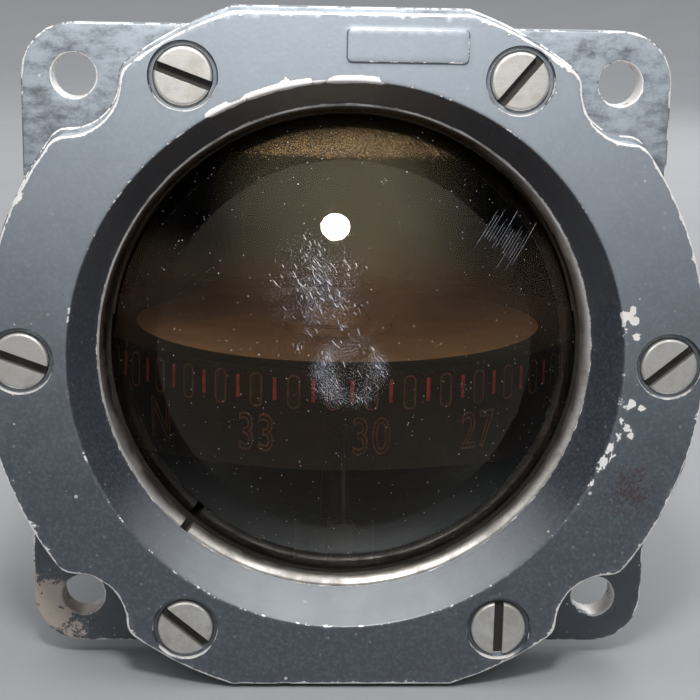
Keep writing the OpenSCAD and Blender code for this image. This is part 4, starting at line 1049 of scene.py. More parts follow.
class COMPASS_OT_bezel(bpy.types.Operator):
    """Make the bezel with its funnel, counterbores and raised blank pad"""

    bl_idname = "compass.bezel"
    bl_label = "Make bezel"

    def execute(self, context):
        shape = context.scene.compass_shape
        pitch, reach, rounding = shape.face_pitch / MM, shape.wear_reach / MM, shape.edge_round / MM
        shell = Shell()

        def outline(d):
            return front_outline(BEZEL_INSET, d)

        rows = rim_profile(RING_FRONT, BEZEL_FRONT, 0.12, rounding, reach)
        rim = [shell.add([facing(p.x, p.y, level) for p in outline(d)], wear) for d, level, wear in rows]
        shell.strip(rim)
        loops = [rim[-1]]
        for k in range(6):
            loops.append(self.add_counterbore(shell, polar(SCREW_CIRCLE_R, 60 * k)))
        pad_foot = self.add_pad(shell)
        loops.append(pad_foot)
        slope = (MOUTH_R - FOOT_R) / (BEZEL_FRONT - FOOT_LEVEL)
        wall = [(MOUTH_R + 0.95, BEZEL_FRONT, 0.0), (MOUTH_R + 0.6, BEZEL_FRONT, 0.2),
                (MOUTH_R + 0.26, BEZEL_FRONT, 0.6), (MOUTH_R + 0.1, BEZEL_FRONT - 0.03, 0.75),
                (MOUTH_R - 0.01, BEZEL_FRONT - 0.12, 0.75), (MOUTH_R - 0.14, BEZEL_FRONT - 0.32, 0.5)]
        for drop, wear in ((1.0, 0.1), (1.9, 0.0), (3.2, 0.0), (4.6, 0.0), (5.6, 0.2), (6.15, 0.6)):
            wall.append((MOUTH_R - slope * drop, BEZEL_FRONT - drop, wear))
        wall += [(FOOT_R, FOOT_LEVEL + 0.1, 0.9), (FOOT_R + 0.12, FOOT_LEVEL, 0.9),
                 (SPIGOT_R, FOOT_LEVEL, 0.0), (SPIGOT_R, RING_FRONT, 0.0)]
        funnel = add_lathe(shell, wall, 224, facing)
        loops.append(funnel[0])
        shell.fill(loops, front_view, lambda u, v: facing(u, v, BEZEL_FRONT), pitch, reach,
                   quiet=[pad_foot, funnel[0]])
        shell.fill([rim[0], funnel[-1]], front_view, lambda u, v: facing(u, v, RING_FRONT), 4.0, reach)
        self.add_worn_spots(shell)
        self.nick_edges(shell)
        mesh = shell.mesh("bezel_body", "bezel_paint")
        add_piece("bezel_body", mesh, "casing", "black_paint", "bezel_ring")
        return {"FINISHED"}

    def add_counterbore(self, shell, centre):
        """A screw's hole with a worn lip, a step and a floor under the head. Gives back its front ring."""
        lip = COUNTERBORE_LIP
        head = SCREW_HEAD_R + SCREW_GAP
        rows = ((COUNTERBORE_R + lip, 0.0, 0.6), (COUNTERBORE_R + 0.85 * lip, 0.03, 0.9),
                (COUNTERBORE_R + 0.15 * lip, 0.40, 1.1), (COUNTERBORE_R, 0.50, 0.8),
                (COUNTERBORE_R - 0.06, 0.70, 0.0), (head + 0.05, 0.78, 0.0), (head, 0.9, 0.0),
                (head, SCREW_HEAD_H, 0.0))
        rings = []
        for radius, depth, wear in rows:
            points = [facing(p.x, p.y, BEZEL_FRONT - depth) for p in circle(radius, 56, centre)]
            rings.append(shell.add(points, wear))
            for i in rings[-1]:
                shell.wear[i] *= 0.8 - 0.2 * (shell.points[i].z - centre.y) / radius
        shell.strip(rings)
        shell.face(rings[-1])
        return rings[0]

    def add_pad(self, shell):
        """The raised blank pad, with its sides and its top. Gives back its foot."""
        top = BEZEL_FRONT + PAD_RISE
        width, height = PAD_SIZE
        rings = []
        for d, level, wear in ((-0.18, BEZEL_FRONT, 0.0), (-0.05, BEZEL_FRONT + 0.04, 0.2),
                               (0.0, BEZEL_FRONT + 0.14, 0.5), (0.03, top - 0.06, 0.85), (0.16, top, 0.75)):
            outline = rounded_box(width - 2 * d, height - 2 * d, 0.6 - d, PAD_PLACE, 0.5)
            rings.append(shell.add([facing(p.x, p.y, level) for p in outline], wear))
        shell.strip(rings)
        shell.fill([rings[-1]], front_view, lambda u, v: facing(u, v, top), 0.6, 1.0)
        return rings[0]

    def add_worn_spots(self, shell):
        """More wear in the places that hands and tools have rubbed, as x, z, radius and strength."""
        spots = (
            (34.9, 7.2, 0.9, 1.3), (35.2, 5.6, 1.1, 1.3), (35.6, 3.8, 1.0, 1.3), (35.9, 2.4, 0.7, 1.2),
            (37.9, 4.7, 1.1, 1.0), (35.4, -4.6, 1.0, 1.3), (36.8, -5.4, 0.9, 1.3), (34.3, -6.9, 0.9, 1.3),
            (35.0, -7.8, 1.0, 1.3), (35.7, -8.8, 0.7, 1.2), (33.1, -10.6, 0.8, 1.3), (33.6, -11.4, 0.6, 1.2),
            (32.6, -12.2, 0.7, 1.3), (32.1, -13.1, 0.6, 1.2), (31.3, -14.8, 0.7, 1.3), (39.3, -4.6, 0.8, 0.9),
            (35.8, 8.4, 1.2, 0.8), (-32.6, 31.6, 2.0, 0.6), (28.0, -30.0, 2.2, 0.7), (-28.2, -26.8, 1.5, 0.4))
        for i, point in enumerate(shell.points):
            if point.y > -BEZEL_FRONT + 1.0:
                continue
            for x, z, radius, strength in spots:
                gap = math.hypot(point.x - x, point.z - z)
                if gap < radius:
                    shell.wear[i] = max(shell.wear[i], strength * (1 - gap / radius) ** 0.5)
            turn = math.degrees(math.atan2(point.z, point.x))
            mouth_gap = math.hypot(point.x, point.z) - MOUTH_R - 0.1
            ragged = noise.noise(Vector((point.x, point.z, 9.0)) * 0.45)
            if BARE_ARC[0] < turn < BARE_ARC[1] and -0.35 < mouth_gap < 0.62 + 0.35 * ragged:
                shell.wear[i] = max(shell.wear[i], 1.2 + 0.25 * ragged)
            elif CHIPPED_ARC[0] < turn < CHIPPED_ARC[1] and -0.35 < mouth_gap < 1.2:
                shell.wear[i] = max(shell.wear[i], 0.62 + 0.8 * ragged - 0.3 * mouth_gap)

    def nick_edges(self, shell):
        """Small dents pressed into the outer front edge."""
        for i, point in enumerate(shell.points):
            if shell.wear[i] < 0.95 or point.y > -BEZEL_FRONT + 0.8 or math.hypot(point.x, point.z) < 37.5:
                continue
            if abs(point.x - PAD_PLACE[0]) < 8.0 and point.z > 36.0 and point.y < -BEZEL_FRONT:
                continue
            depth = noise.noise(Vector((point.x, point.z, 3.0)) * 0.45)
            if depth > NICK_FLOOR:
                inward = Vector((-point.x, 0.0, -point.z)).normalized() + Vector((0.0, 0.6, 0.0))
                shell.points[i] = point + inward * min(NICK_DEPTH, (depth - NICK_FLOOR) * 0.5)


class COMPASS_OT_casing(bpy.types.Operator):
    """Make the casing: front ring, mounting flange and barrel with its recesses"""

    bl_idname = "compass.casing"
    bl_label = "Make casing"

    def execute(self, context):
        shape = context.scene.compass_shape
        reach, rounding = shape.wear_reach / MM, shape.edge_round / MM
        shell = Shell()
        add_plate(shell, lambda d: front_outline(0.0, d), [(lambda d: circle(FRONT_RING_IN_R + d, 160), 0.1)],
                  FLANGE_FRONT - 0.1, RING_FRONT, (0.3, 0.3), 1.6, reach)

        def square(d):
            side = 2 * (FLANGE_HALF - d)
            return rounded_box(side, side, FLANGE_CORNER_R - d)

        holes = [(lambda d: circle(FLANGE_IN_R + d, 160), 0.1)]
        for x in (-BOLT, BOLT):
            for z in (-BOLT, BOLT):
                holes.append((lambda d, at=(x, z): circle(BOLT_HOLE_R + d, 48, at), 0.3))
        add_plate(shell, square, holes, 0.0, FLANGE_FRONT, (rounding, rounding), 1.2, reach)
        self.add_barrel(shell)
        for y, z, end in ((PIVOT_Y, POST_BOSS_Z, -BOSS_END), (FILLER_Y, FILLER_BOSS_Z, BOSS_END)):
            lift = math.copysign(0.5, end)
            rows = [(0.0, z, 0), (BOSS_R - 0.5, z, 0), (BOSS_R - 0.15, z + lift * 0.3, 0),
                    (BOSS_R, z + lift, 0), (BOSS_R, end, 0), (0.0, end, 0)]
            add_lathe(shell, rows, 64, lambda u, v, level, y=y: Vector((u, y + v, level)), 1)
        self.add_worn_corner(shell)
        mesh = shell.mesh("casing_body", "casing_paint", "bowl_inside")
        add_piece("casing_body", mesh, "casing", "black_paint", "bowl_casing")
        return {"FINISHED"}

    def add_barrel(self, shell):
        """Outer wall with two screw recesses, rear rim and the inside of the bowl."""
        columns = BARREL_COLUMNS

        def ring(radius, y, wear=0.0):
            return shell.add([Vector((p.x, y, p.y)) for p in circle(radius, columns)], wear)

        def rings(*rows):
            return [ring(radius, y) for radius, y in rows]

        start, stop = 0.9, BARREL_END_Y - 0.5
        front = rings(*BARREL_SKIRT, (BARREL_R, start))
        shell.strip(front)
        rows = int((stop - start) / BARREL_PITCH)
        levels = [start + (stop - start) * k / rows for k in range(rows + 1)]
        wall = [front[-1]] + [ring(BARREL_R, y, max(0.0, 1 - (levels[-1] - y) / 1.8)) for y in levels[1:]]
        cuts = []
        for centre_y, turn, (radius, depth) in ((FILLER_Y, 90, FILLER_RECESS), (PIVOT_Y, 270, POST_RECESS)):
            half = round((math.degrees(math.asin((radius + 1.6) / BARREL_R)) + 1) / (360 / columns))
            middle = round(turn / (360 / columns))
            first = max(k for k, y in enumerate(levels) if y < centre_y - radius - 1.0)
            last = min(k for k, y in enumerate(levels) if y > centre_y + radius + 1.0)
            cuts.append((first, last, middle - half, middle + half))
            self.add_recess(shell, wall, cuts[-1], centre_y, turn, radius, depth)
        for k in range(rows):
            for i in range(columns):
                if not any(first <= k < last and left <= i < right for first, last, left, right in cuts):
                    j = (i + 1) % columns
                    shell.face((wall[k][i], wall[k][j], wall[k + 1][j], wall[k + 1][i]))
        end = BARREL_END_Y
        rim = [wall[-1], ring(BARREL_R - 0.12, end - 0.15, 1.0), ring(BARREL_R - 0.45, end, 1.0),
               ring(REAR_OPEN_R + 0.2, end)]
        shell.strip(rim)
        inside = rings(
            (REAR_OPEN_R, end - 0.2), (REAR_OPEN_R, RIM_FRONT_Y), (CHAMBER_R, RIM_FRONT_Y),
            (CHAMBER_R, -LEDGE_BACK), (SEAT_R + 0.1, -LEDGE_BACK), (SEAT_R, -LEDGE_BACK - 0.1),
            (SEAT_R, 0.1 - LEDGE_FRONT), (SEAT_R + 0.1, -LEDGE_FRONT), (BORE_R, -LEDGE_FRONT),
            (BORE_R, -RING_FRONT))
        shell.strip([rim[-1], *inside, front[0]], 1)

    def add_recess(self, shell, wall, cut, centre_y, turn, radius, depth):
        """A round flat-bottomed recess in the barrel's wall, and the wall around it."""
        first, last, left, right = cut
        border = [wall[first][i] for i in range(left, right)]
        border += [wall[k][right] for k in range(first, last)]
        border += [wall[last][i] for i in range(right, left, -1)]
        border += [wall[k][left] for k in range(last, first, -1)]
        up = 1.0 if turn == 90 else -1.0

        def on_barrel(r, sink):
            return [Vector((p.x, centre_y + p.y, up * (math.sqrt(BARREL_R ** 2 - p.x ** 2) - sink)))
                    for p in circle(r, 64)]

        floor = [Vector((p.x, centre_y + p.y, up * (BARREL_R - depth))) for p in circle(radius, 64)]
        rings = [shell.add(on_barrel(radius + 0.3, 0.0), 0.8), shell.add(on_barrel(radius + 0.08, 0.08), 0.9),
                 shell.add(on_barrel(radius, 0.3), 0.5), shell.add(floor)]
        shell.strip(rings)
        shell.face(rings[-1])

        def unrolled(point):
            return math.radians(math.degrees(math.atan2(point.z, point.x)) % 360) * BARREL_R, point.y

        def rolled(u, v):
            return Vector((BARREL_R * math.cos(u / BARREL_R), v, BARREL_R * math.sin(u / BARREL_R)))

        shell.fill([border, rings[0]], unrolled, rolled, 1.4, 1.2, quiet=[border])

    def add_worn_corner(self, shell):
        """The lower left corner of the flange is rubbed to bare metal."""
        for i, point in enumerate(shell.points):
            if point.y > 0.2 or point.y < -FLANGE_FRONT - 0.1 or abs(point.x) < 28 or abs(point.z) < 28:
                continue
            gap = math.hypot(point.x - WORN_CORNER[0], point.z - WORN_CORNER[1])
            if gap < WORN_CORNER_R:
                shell.wear[i] = max(shell.wear[i], 1.45 * (1 - gap / WORN_CORNER_R) ** 0.5)


class COMPASS_OT_clamp_ring(bpy.types.Operator):
    """Make the split clamp ring at the foot of the funnel"""

    bl_idname = "compass.clamp_ring"
    bl_label = "Make clamp ring"

    def execute(self, context):
        shell = Shell()
        section = ((CLAMP_IN_R + 0.15, CLAMP_BOTTOM), (SPIGOT_R - 0.1, CLAMP_BOTTOM),
                   (SPIGOT_R, CLAMP_BOTTOM + 0.1), (SPIGOT_R, FOOT_LEVEL - 0.05),
                   (CLAMP_IN_R + 0.95, FOOT_LEVEL - 0.01),
                   (CLAMP_IN_R + 0.78, FOOT_LEVEL - 0.06), (CLAMP_IN_R + 0.30, FOOT_LEVEL - 0.50),
                   (CLAMP_IN_R + 0.08, FOOT_LEVEL - 0.76), (CLAMP_IN_R, FOOT_LEVEL - 1.0),
                   (CLAMP_IN_R, CLAMP_BOTTOM + 0.15))
        half_cut = math.degrees(CLAMP_CUT_W / 2 / CLAMP_IN_R)
        steps = 260
        rings = []
        for k in range(steps + 1):
            turn = CLAMP_CUT_TURN + half_cut + (360 - 2 * half_cut) * k / steps
            wave = 0.05 * noise.noise(polar(9.0, turn).to_3d())
            rings.append(shell.add([facing(*polar(radius + wave, turn), level) for radius, level in section]))
            # Brightness of each row, kept in the edge attribute: the outer top edge bright, the rest dull,
            # and the inner slope lit towards the lower right with painted shade towards the upper left.
            lit = min(1.0, max(0.0, 0.45 + 0.8 * math.cos(math.radians(turn + 60))))
            for i, bare in zip(rings[-1], (0.3, 0.3, 0.3, 0.95, 0.95, max(0.05, lit), lit, lit, lit, 0.3)):
                shell.wear[i] = bare
        shell.strip(rings)
        shell.face(rings[0])
        shell.face(rings[-1])
        mesh = shell.mesh("clamp_ring", "clamp_alloy")
        add_piece("clamp_ring", mesh, "casing", "bare_alloy", "glass_clamp_ring")
        return {"FINISHED"}


def dome_rows(radius, low_turn, high_turn, count):
    """Rows of a dome about the glass's centre, from an angle off the window's axis to another."""
    rows = []
    for k in range(count + 1):
        turn = math.radians(low_turn + (high_turn - low_turn) * k / count)
        rows.append((radius * math.sin(turn), radius * math.cos(turn) - GLASS_CENTRE_Y, 0.0))
    return rows


def cut_level(work, level, **options):
    """A mesh cut through at a height."""
    everything = work.verts[:] + work.edges[:] + work.faces[:]
    return bmesh.ops.bisect_plane(
        work, geom=everything, plane_co=(0, 0, level), plane_no=(0, 0, 1), **options)


class COMPASS_OT_window(bpy.types.Operator):
    """Make the domed glass with its scuffs, and the residue above the fluid"""

    bl_idname = "compass.window"
    bl_label = "Make window"

    def execute(self, context):
        shell = Shell()
        base_turn = math.degrees(math.asin(DOME_BASE_R / GLASS_R))
        seat_turn = math.degrees(math.acos((GLASS_SEAT + GLASS_CENTRE_Y) / GLASS_IN_R))
        rows = dome_rows(GLASS_R, 0.0, base_turn, GLASS_ROWS)
        rows += [(GLASS_RIM_R - 0.2, CLAMP_BOTTOM, 0), (GLASS_RIM_R, CLAMP_BOTTOM - 0.2, 0),
                 (GLASS_RIM_R, GLASS_SEAT + 0.2, 0), (GLASS_RIM_R - 0.2, GLASS_SEAT, 0)]
        rows += dome_rows(GLASS_IN_R, seat_turn, 0.0, GLASS_ROWS)
        add_lathe(shell, rows, 160, facing)
        mesh = shell.mesh("glass_window", "dome_glass", "wetted_glass")
        self.wet_inside(mesh, context.scene.compass_shape.fluid_level)
        add_piece("glass_window", mesh, "casing", "window_glass", "glass_dome")
        self.add_film(seat_turn - 0.6)
        scatter_tree()
        self.add_scuffs(context)
        self.add_hatching()
        self.add_residue(context)
        return {"FINISHED"}

    def wet_inside(self, mesh, level):
        """The inner face of the glass below the fluid's level touches fluid and not air."""
        centre = Vector((0.0, GLASS_CENTRE_Y, 0.0)) * MM
        with opened(mesh) as work:
            cut_level(work, level)
            for face in work.faces:
                inner = all(abs((v.co - centre).length - GLASS_IN_R * MM) < 0.1 * MM for v in face.verts)
                if inner and face.calc_center_median().z < level:
                    face.material_index = 1

    def add_film(self, edge_turn):
        """The brown deposit and painted reflection on the inside of the glass, a thin closed skin."""
        shell = Shell()
        front, back = (GLASS_IN_R - depth for depth in FILM_LEVELS)
        rows = dome_rows(front, 0.0, edge_turn, GLASS_ROWS) + dome_rows(back, edge_turn, 0.0, GLASS_ROWS)
        add_lathe(shell, rows, 120, facing)
        add_piece("glass_film", shell.mesh("glass_film", "brown_film"), "casing", "window_glass")

    def flake(self, label, corners, thick):
        """A flat diamond with a raised middle, one unit long."""
        mesh = bpy.data.meshes.new(label)
        points = [(math.cos(2 * math.pi * k / corners) / 2, math.sin(2 * math.pi * k / corners) / 2, 0.0)
                  for k in range(corners)]
        points += [(0.0, 0.0, thick), (0.0, 0.0, -thick)]
        faces = [(k, (k + 1) % corners, corners) for k in range(corners)]
        faces += [((k + 1) % corners, k, corners + 1) for k in range(corners)]
        mesh.from_pydata(points, [], faces)
        return loose_object(label, mesh)

    def patch(self, label, radius, weigh):
        """A part of a dome with a density at each point, sunk into the glass at its foremost place."""
        shell = Shell()
        rows = dome_rows(radius, 0.0, math.degrees(math.asin(0.985 * DOME_BASE_R / GLASS_R)), 72)
        add_lathe(shell, rows, 120, facing)
        shell.wear = [weigh(point) for point in shell.points]
        for point in shell.points:
            if math.hypot(point.x, point.z) < APEX_R:
                point.y += APEX_SINK
        return shell.mesh(label)

    def add_scuffs(self, context):
        """Short strokes and fine haze where the dome is rubbed, thickest where they paint the glint of light
        around the highlight, and dust all over.
        """
        count = context.scene.compass_shape.scuff_count

        def scuffs_and_glint(point):
            x, z = point.x - UPPER_SCUFF[0], point.z - UPPER_SCUFF[1]
            upper = math.exp(-(x ** 2 / 16.0 + z ** 2 / 26.0))
            # painted glint: a ring of scuffs, weighted towards the left and the top, stands in for light
            # glinting on fine scratches
            x, z = point.x - GLINT_RING_CENTRE[0], point.z - GLINT_RING_CENTRE[1]
            gap, turn = math.hypot(x, z), math.atan2(z, x)
            ring = gap - GLINT_RING_R
            side, up = math.cos(turn), math.sin(turn)
            bright = 0.3 + 0.6 * max(0.0, -side) + 0.35 * abs(side) + 0.3 * max(0.0, up)
            lower = bright * math.exp(-(ring / 1.2) ** 2) + 0.3 * math.exp(-(gap / 3.4) ** 4)
            uneven = max(0.2, 0.8 + 1.1 * noise.noise(Vector((point.x, point.z, 5.0)) * 0.5))
            return max(0.0, max(upper, lower) - 0.05) * uneven

        def strokes(point):
            return scuffs_and_glint(point) * (0.3 if point.z < 4.5 else 1.0)

        self.scatter("glass_scuffs", "scuff", GLASS_R, strokes, count / 65.0, 11,
                     (0.15, 0.03, 0.02), (1.1, 0.08, 0.03), turn=-0.95, lean=0.35)
        self.scatter("glass_haze", "scuff", GLASS_R, scuffs_and_glint, count / 2.6, 4,
                     (0.025, 0.02, 0.02), (0.10, 0.05, 0.02))
        self.scatter("glass_specks", "scuff", GLASS_R, lambda point: 1.0, 0.16, 5,
                     (0.04, 0.04, 0.02), (0.19, 0.15, 0.03))

    def scatter(self, label, finish, radius, weigh, density, seed, least, most, turn=0.0, lean=3.1,
                flake=(6, 0.5)):
        """Flakes between two sizes over a dome, so many to a square millimetre where the weight is one."""
        master = self.flake(label + "_flake", *flake)
        mesh = grown_mesh(
            label, self.patch(label + "_patch", radius, weigh), bpy.data.node_groups["Flakes on a surface"],
            {"Flake": master, "Density": density / MM ** 2, "Seed": seed, "Least": Vector(least) * MM,
             "Most": Vector(most) * MM, "Turn": turn, "Lean": lean, "Finish": finish_of(finish)})
        bpy.data.objects.remove(master)
        add_piece(label, mesh, "casing", "window_glass")

    def add_hatching(self):
        """A patch of fine parallel light lines on the right of the dome."""
        draw = random.Random(21)
        shell = Shell()
        along = polar(1.0, HATCH_TURN)
        across = Vector((along.y, -along.x))
        for k in range(HATCH_LINES):
            shift = across * (k - HATCH_LINES // 2) * HATCH_PITCH
            middle = Vector(HATCH_PLACE) + shift + along * draw.uniform(-0.9, 0.9)
            half = draw.uniform(1.2, 3.2)
            width = draw.uniform(0.006, 0.014)
            rings = []
            for j in range(9):
                step = j / 4 - 1
                spot = middle + along * half * step
                front = math.sqrt(GLASS_R ** 2 - spot.length_squared) - GLASS_CENTRE_Y
                side = 0.001 if abs(step) == 1 else width
                ring = [facing(*(spot + across * side), front), facing(*spot, front + side),
                        facing(*(spot - across * side), front), facing(*spot, front - side)]
                rings.append(shell.add(ring))
            shell.strip(rings)
            shell.face(rings[0])
            shell.face(rings[-1])
        add_piece("glass_hatching", shell.mesh("glass_hatching", "scuff"), "casing", "window_glass")

    def add_residue(self, context):
        """Dried residue and its bright grains on the glass above the fluid."""
        level = context.scene.compass_shape.fluid_level / MM

        def above(point):
            return 1.0 if point.z > level else 0.0

        for label, density, finish in (
                ("glass_residue", 55.0, "dried_residue"), ("residue_grains", 9.0, "residue_grain")):
            self.scatter(label, finish, GLASS_IN_R - 0.05, above, density, 2,
                         (0.04, 0.03, 0.03), (0.13, 0.11, 0.07), flake=(5, 0.2))


class COMPASS_OT_fluid(bpy.types.Operator):
    """Make the aged damping fluid in the bowl, up to its level"""

    bl_idname = "compass.fluid"
    bl_label = "Make fluid"

    def execute(self, context):
        level = context.scene.compass_shape.fluid_level
        shell = Shell()
        dome_r = GLASS_IN_R + FLUID_LAP
        seat_turn = math.degrees(math.acos((LEDGE_FRONT + GLASS_CENTRE_Y) / dome_r))
        rows = dome_rows(dome_r, 0.0, seat_turn, GLASS_ROWS)
        rows += [(SEAT_R + 0.2, LEDGE_FRONT - 0.5, 0), (SEAT_R + 0.2, LEDGE_BACK + 0.2, 0),
                 (CHAMBER_R + 0.2, LEDGE_BACK + 0.2, 0), (CHAMBER_R + 0.2, -RIM_FRONT_Y - 0.2, 0),
                 (REAR_OPEN_R + 0.2, -RIM_FRONT_Y - 0.2, 0), (REAR_OPEN_R + 0.2, -BARREL_END_Y - 0.9, 0),
                 (0.0, -BARREL_END_Y - 0.9, 0)]
        add_lathe(shell, rows, 160, facing)
        mesh = shell.mesh("damping_fluid", "aged_fluid")
        with opened(mesh) as work:
            cut = cut_level(work, level, clear_outer=True)
            rim = [item for item in cut["geom_cut"] if isinstance(item, bmesh.types.BMEdge)]
            bmesh.ops.edgenet_fill(work, edges=rim)
            bmesh.ops.recalc_face_normals(work, faces=work.faces)
        mesh.set_sharp_from_angle(angle=math.radians(32))
        add_piece("damping_fluid", mesh, "casing", "window_glass")
        return {"FINISHED"}


# Card


def around_card(u, v, level):
    """A point about the card's axis at a height."""
    return Vector((u, PIVOT_Y + v, level))


class COMPASS_OT_card(bpy.types.Operator):
    """Make the card with its bars, ticks and numerals"""

    bl_idname = "compass.card"
    bl_label = "Make card"

    def execute(self, context):
        shell = Shell()
        top, low, inner = CARD_TOP_Z, CARD_BOTTOM_Z, CARD_R - CARD_WALL
        disc = [(HUB_R, top), (12.0, top), (CARD_DISC_R, top)]
        rim = [(CARD_R - 0.4, top), (CARD_R - 0.1, top - 0.08), (CARD_R, top - 0.35)]
        band = [(CARD_R, low + 0.1), (CARD_R - 0.1, low), (inner + 0.1, low), (inner, low + 0.1),
                (inner, top - CARD_WALL), (HUB_R, top - CARD_WALL)]
        rings = [shell.add([around_card(p.x, p.y, level) for p in circle(radius, 180)])
                 for radius, level in disc + rim + band]
        shell.strip(rings[:3], 1)
        shell.strip(rings[2:6], 2)
        shell.strip(rings[5:] + rings[:1])
        mesh = shell.mesh("card_body", "card_band", "card_disc", "card_rim")
        add_piece("card_body", mesh, "card", "card_lacquer", "card_dial")
        self.add_marks(context)
        self.add_numerals(context)
        return {"FINISHED"}

    def flat_ring(self, label, outer, inner):
        """A thin flat frame between two outlines, facing -Y, or a filled plate without an inner one."""
        shell = Shell()
        loops = [[shell.add([Vector((p.x, side * MARK_THICK, p.y)) for p in loop]) for side in (-1, 0)]
                 for loop in (outer, inner) if loop]
        for pair in loops:
            shell.strip(pair)
        for side in (0, 1):
            if inner:
                shell.strip([loops[0][side], loops[1][side]])
            else:
                shell.face(loops[0][side])
        return loose_object(label, shell.mesh(label))

    def add_marks(self, context):
        """Outlined bars at the tens of degrees and ticks at the fives between them."""
        shape = context.scene.compass_shape
        tree = dial_tree()
        width, height = (s / MM for s in shape.bar_size)
        bar_z = CARD_TOP_Z - BAR_DROP - height / 2
        corner = width / 2 - 0.05
        tick_w, tick_h = (s / MM for s in shape.tick_size)
        tick_z = CARD_TOP_Z - TICK_DROP - tick_h / 2
        outer = rounded_box(width, height, corner, pitch=0.6)
        inner = rounded_box(width - 2 * BAR_LINE, height - 2 * BAR_LINE, corner - BAR_LINE, pitch=0.6)
        tick = rounded_box(tick_w, tick_h, 0.1, pitch=1.0)
        marks = (("bar_outlines", self.flat_ring("bar_outline", outer, inner), bar_z, 0, "mark_outline"),
                 ("bar_fillings", self.flat_ring("bar_filling", inner, None), bar_z, 0, "mark_filling"),
                 ("tick_marks", self.flat_ring("tick", tick, None), tick_z, 5, "tick_red"))
        for label, mark, level, heading, finish in marks:
            first = math.radians((CARD_HEADING - 90 - heading) % 10)
            mesh = grown_mesh(
                label, bpy.data.meshes.new(label + "_none"), tree,
                {"Mark": mark, "Count": 36, "Radius": (CARD_R + 0.005) * MM, "First turn": first,
                 "Centre": (0.0, PIVOT_Y * MM, level * MM), "Finish": finish_of(finish)})
            bpy.data.objects.remove(mark)
            add_piece(label, mesh, "card", "card_lacquer")

    def add_numerals(self, context):
        """Outlined numerals at every thirtieth degree, wrapped around the card."""
        height = context.scene.compass_shape.numeral_height / MM
        joined = bmesh.new()
        for heading in range(0, 360, 30):
            words = "N" if heading == 0 else str(heading // 10)
            curve = bpy.data.curves.new("numeral", "FONT")
            curve.body = words
            curve.align_x = "CENTER"
            curve.size = 1.0
            curve.fill_mode = "NONE"
            curve.bevel_depth = 0.022
            curve.bevel_resolution = 1
            curve.resolution_u = 6
            curve.space_character = 1.08
            mesh = evaluated_mesh(loose_object("numeral", curve), "numeral")
            tall = max(v.co.y for v in mesh.vertices) - min(v.co.y for v in mesh.vertices)
            scale = height / tall
            middle = math.radians(heading - CARD_HEADING)
            for vertex in mesh.vertices:
                x, y, z = vertex.co
                turn = middle - x * scale * NUMERAL_SQUEEZE / CARD_R
                radius = CARD_R + 0.02 + z * scale * 0.3
                level = CARD_TOP_Z - NUMERAL_DROP + y * scale
                vertex.co = around_card(-radius * math.sin(turn), -radius * math.cos(turn), level) * MM
            joined.from_mesh(mesh)
            bpy.data.meshes.remove(mesh)
            bpy.data.curves.remove(curve)
        bmesh.ops.remove_doubles(joined, verts=joined.verts, dist=1e-7)
        bmesh.ops.recalc_face_normals(joined, faces=joined.faces)
        mesh = bpy.data.meshes.new("card_numerals")
        joined.to_mesh(mesh)
        joined.free()
        mesh.materials.append(finish_of("mark_outline"))
        mesh.shade_smooth()
        add_piece("card_numerals", mesh, "card", "card_lacquer")


# Screws and rear


def screw_master(label, head_r, head_h, shank_r, length, slot_w, slot_depth):
    """A slotted cheese-head screw with its head's top at the origin, pointing up."""
    shell = Shell()
    soft = min(0.35, head_h * 0.2)
    rows = [(0.0, 0.0, 0), (head_r - 1.4 * soft, 0.0, 0)]
    rim = [Vector((0.0, soft))] + arc((0, 0), soft, 90, 0, 6)
    rows += [(head_r - soft + p.x, p.y - soft, 0) for p in rim]
    end = -head_h - length
    rows += [(head_r, -head_h + 0.06, 0), (head_r - 0.06, -head_h, 0), (shank_r, -head_h, 0),
             (shank_r, end + 0.3, 0), (shank_r - 0.3, end, 0), (0.0, end, 0)]
    add_lathe(shell, rows, 64, lambda u, v, level: Vector((u, v, level)))
    screw = loose_object(label, shell.mesh(label))
    tool = Shell()
    loops = [tool.add([Vector((p.x, p.y, level)) for p in rounded_box(4 * head_r, slot_w, 0.02, pitch=9.0)])
             for level in (-slot_depth, 1.0)]
    tool.strip(loops)
    tool.face(loops[0])
    tool.face(loops[1])
    cutter = loose_object(label + "_slot", tool.mesh(label + "_slot"))
    cut = screw.modifiers.new("slot", "BOOLEAN")
    cut.operation = "DIFFERENCE"
    cut.object = cutter
    soften(screw, 0.07, 50)
    mesh = evaluated_mesh(screw, label)
    bpy.data.objects.remove(cutter)
    mesh.shade_smooth()
    mesh.set_sharp_from_angle(angle=math.radians(20))
    # painted shade in the slot, darker towards its floor, kept in the edge attribute
    slot_shade = mesh.attributes.get("edge") or mesh.attributes.new("edge", "FLOAT", "POINT")
    for item, vertex in zip(slot_shade.data, mesh.vertices):
        _, y, z = vertex.co / MM
        in_slot = abs(y) < slot_w / 2 + 0.01 and -slot_depth - 0.01 < z < -0.08
        item.value = min(1.0, -1.3 * z / slot_depth) if in_slot else 0.0
    return loose_object(label, mesh)


def add_screws(label, master, places, node, tree):
    """Copies of a screw at (point, direction of its head, turn of its slot in degrees)."""
    points = bpy.data.meshes.new(label + "_points")
    points.from_pydata([Vector(point) * MM for point, _, _ in places], [], [])
    turns = points.attributes.new("turn", "FLOAT_VECTOR", "POINT")
    for item, (_, direction, turn) in zip(turns.data, places):
        up = Vector(direction).to_track_quat("Z", "Y")
        item.vector = (up.to_matrix() @ Matrix.Rotation(math.radians(turn), 3, "Z")).to_euler()
    mesh = grown_mesh(label, points, tree, {"Master": master, "Finish": finish_of("screw_nickel")})
    bpy.data.objects.remove(master)
    add_piece(label, mesh, "casing", "nickel_brass", node)


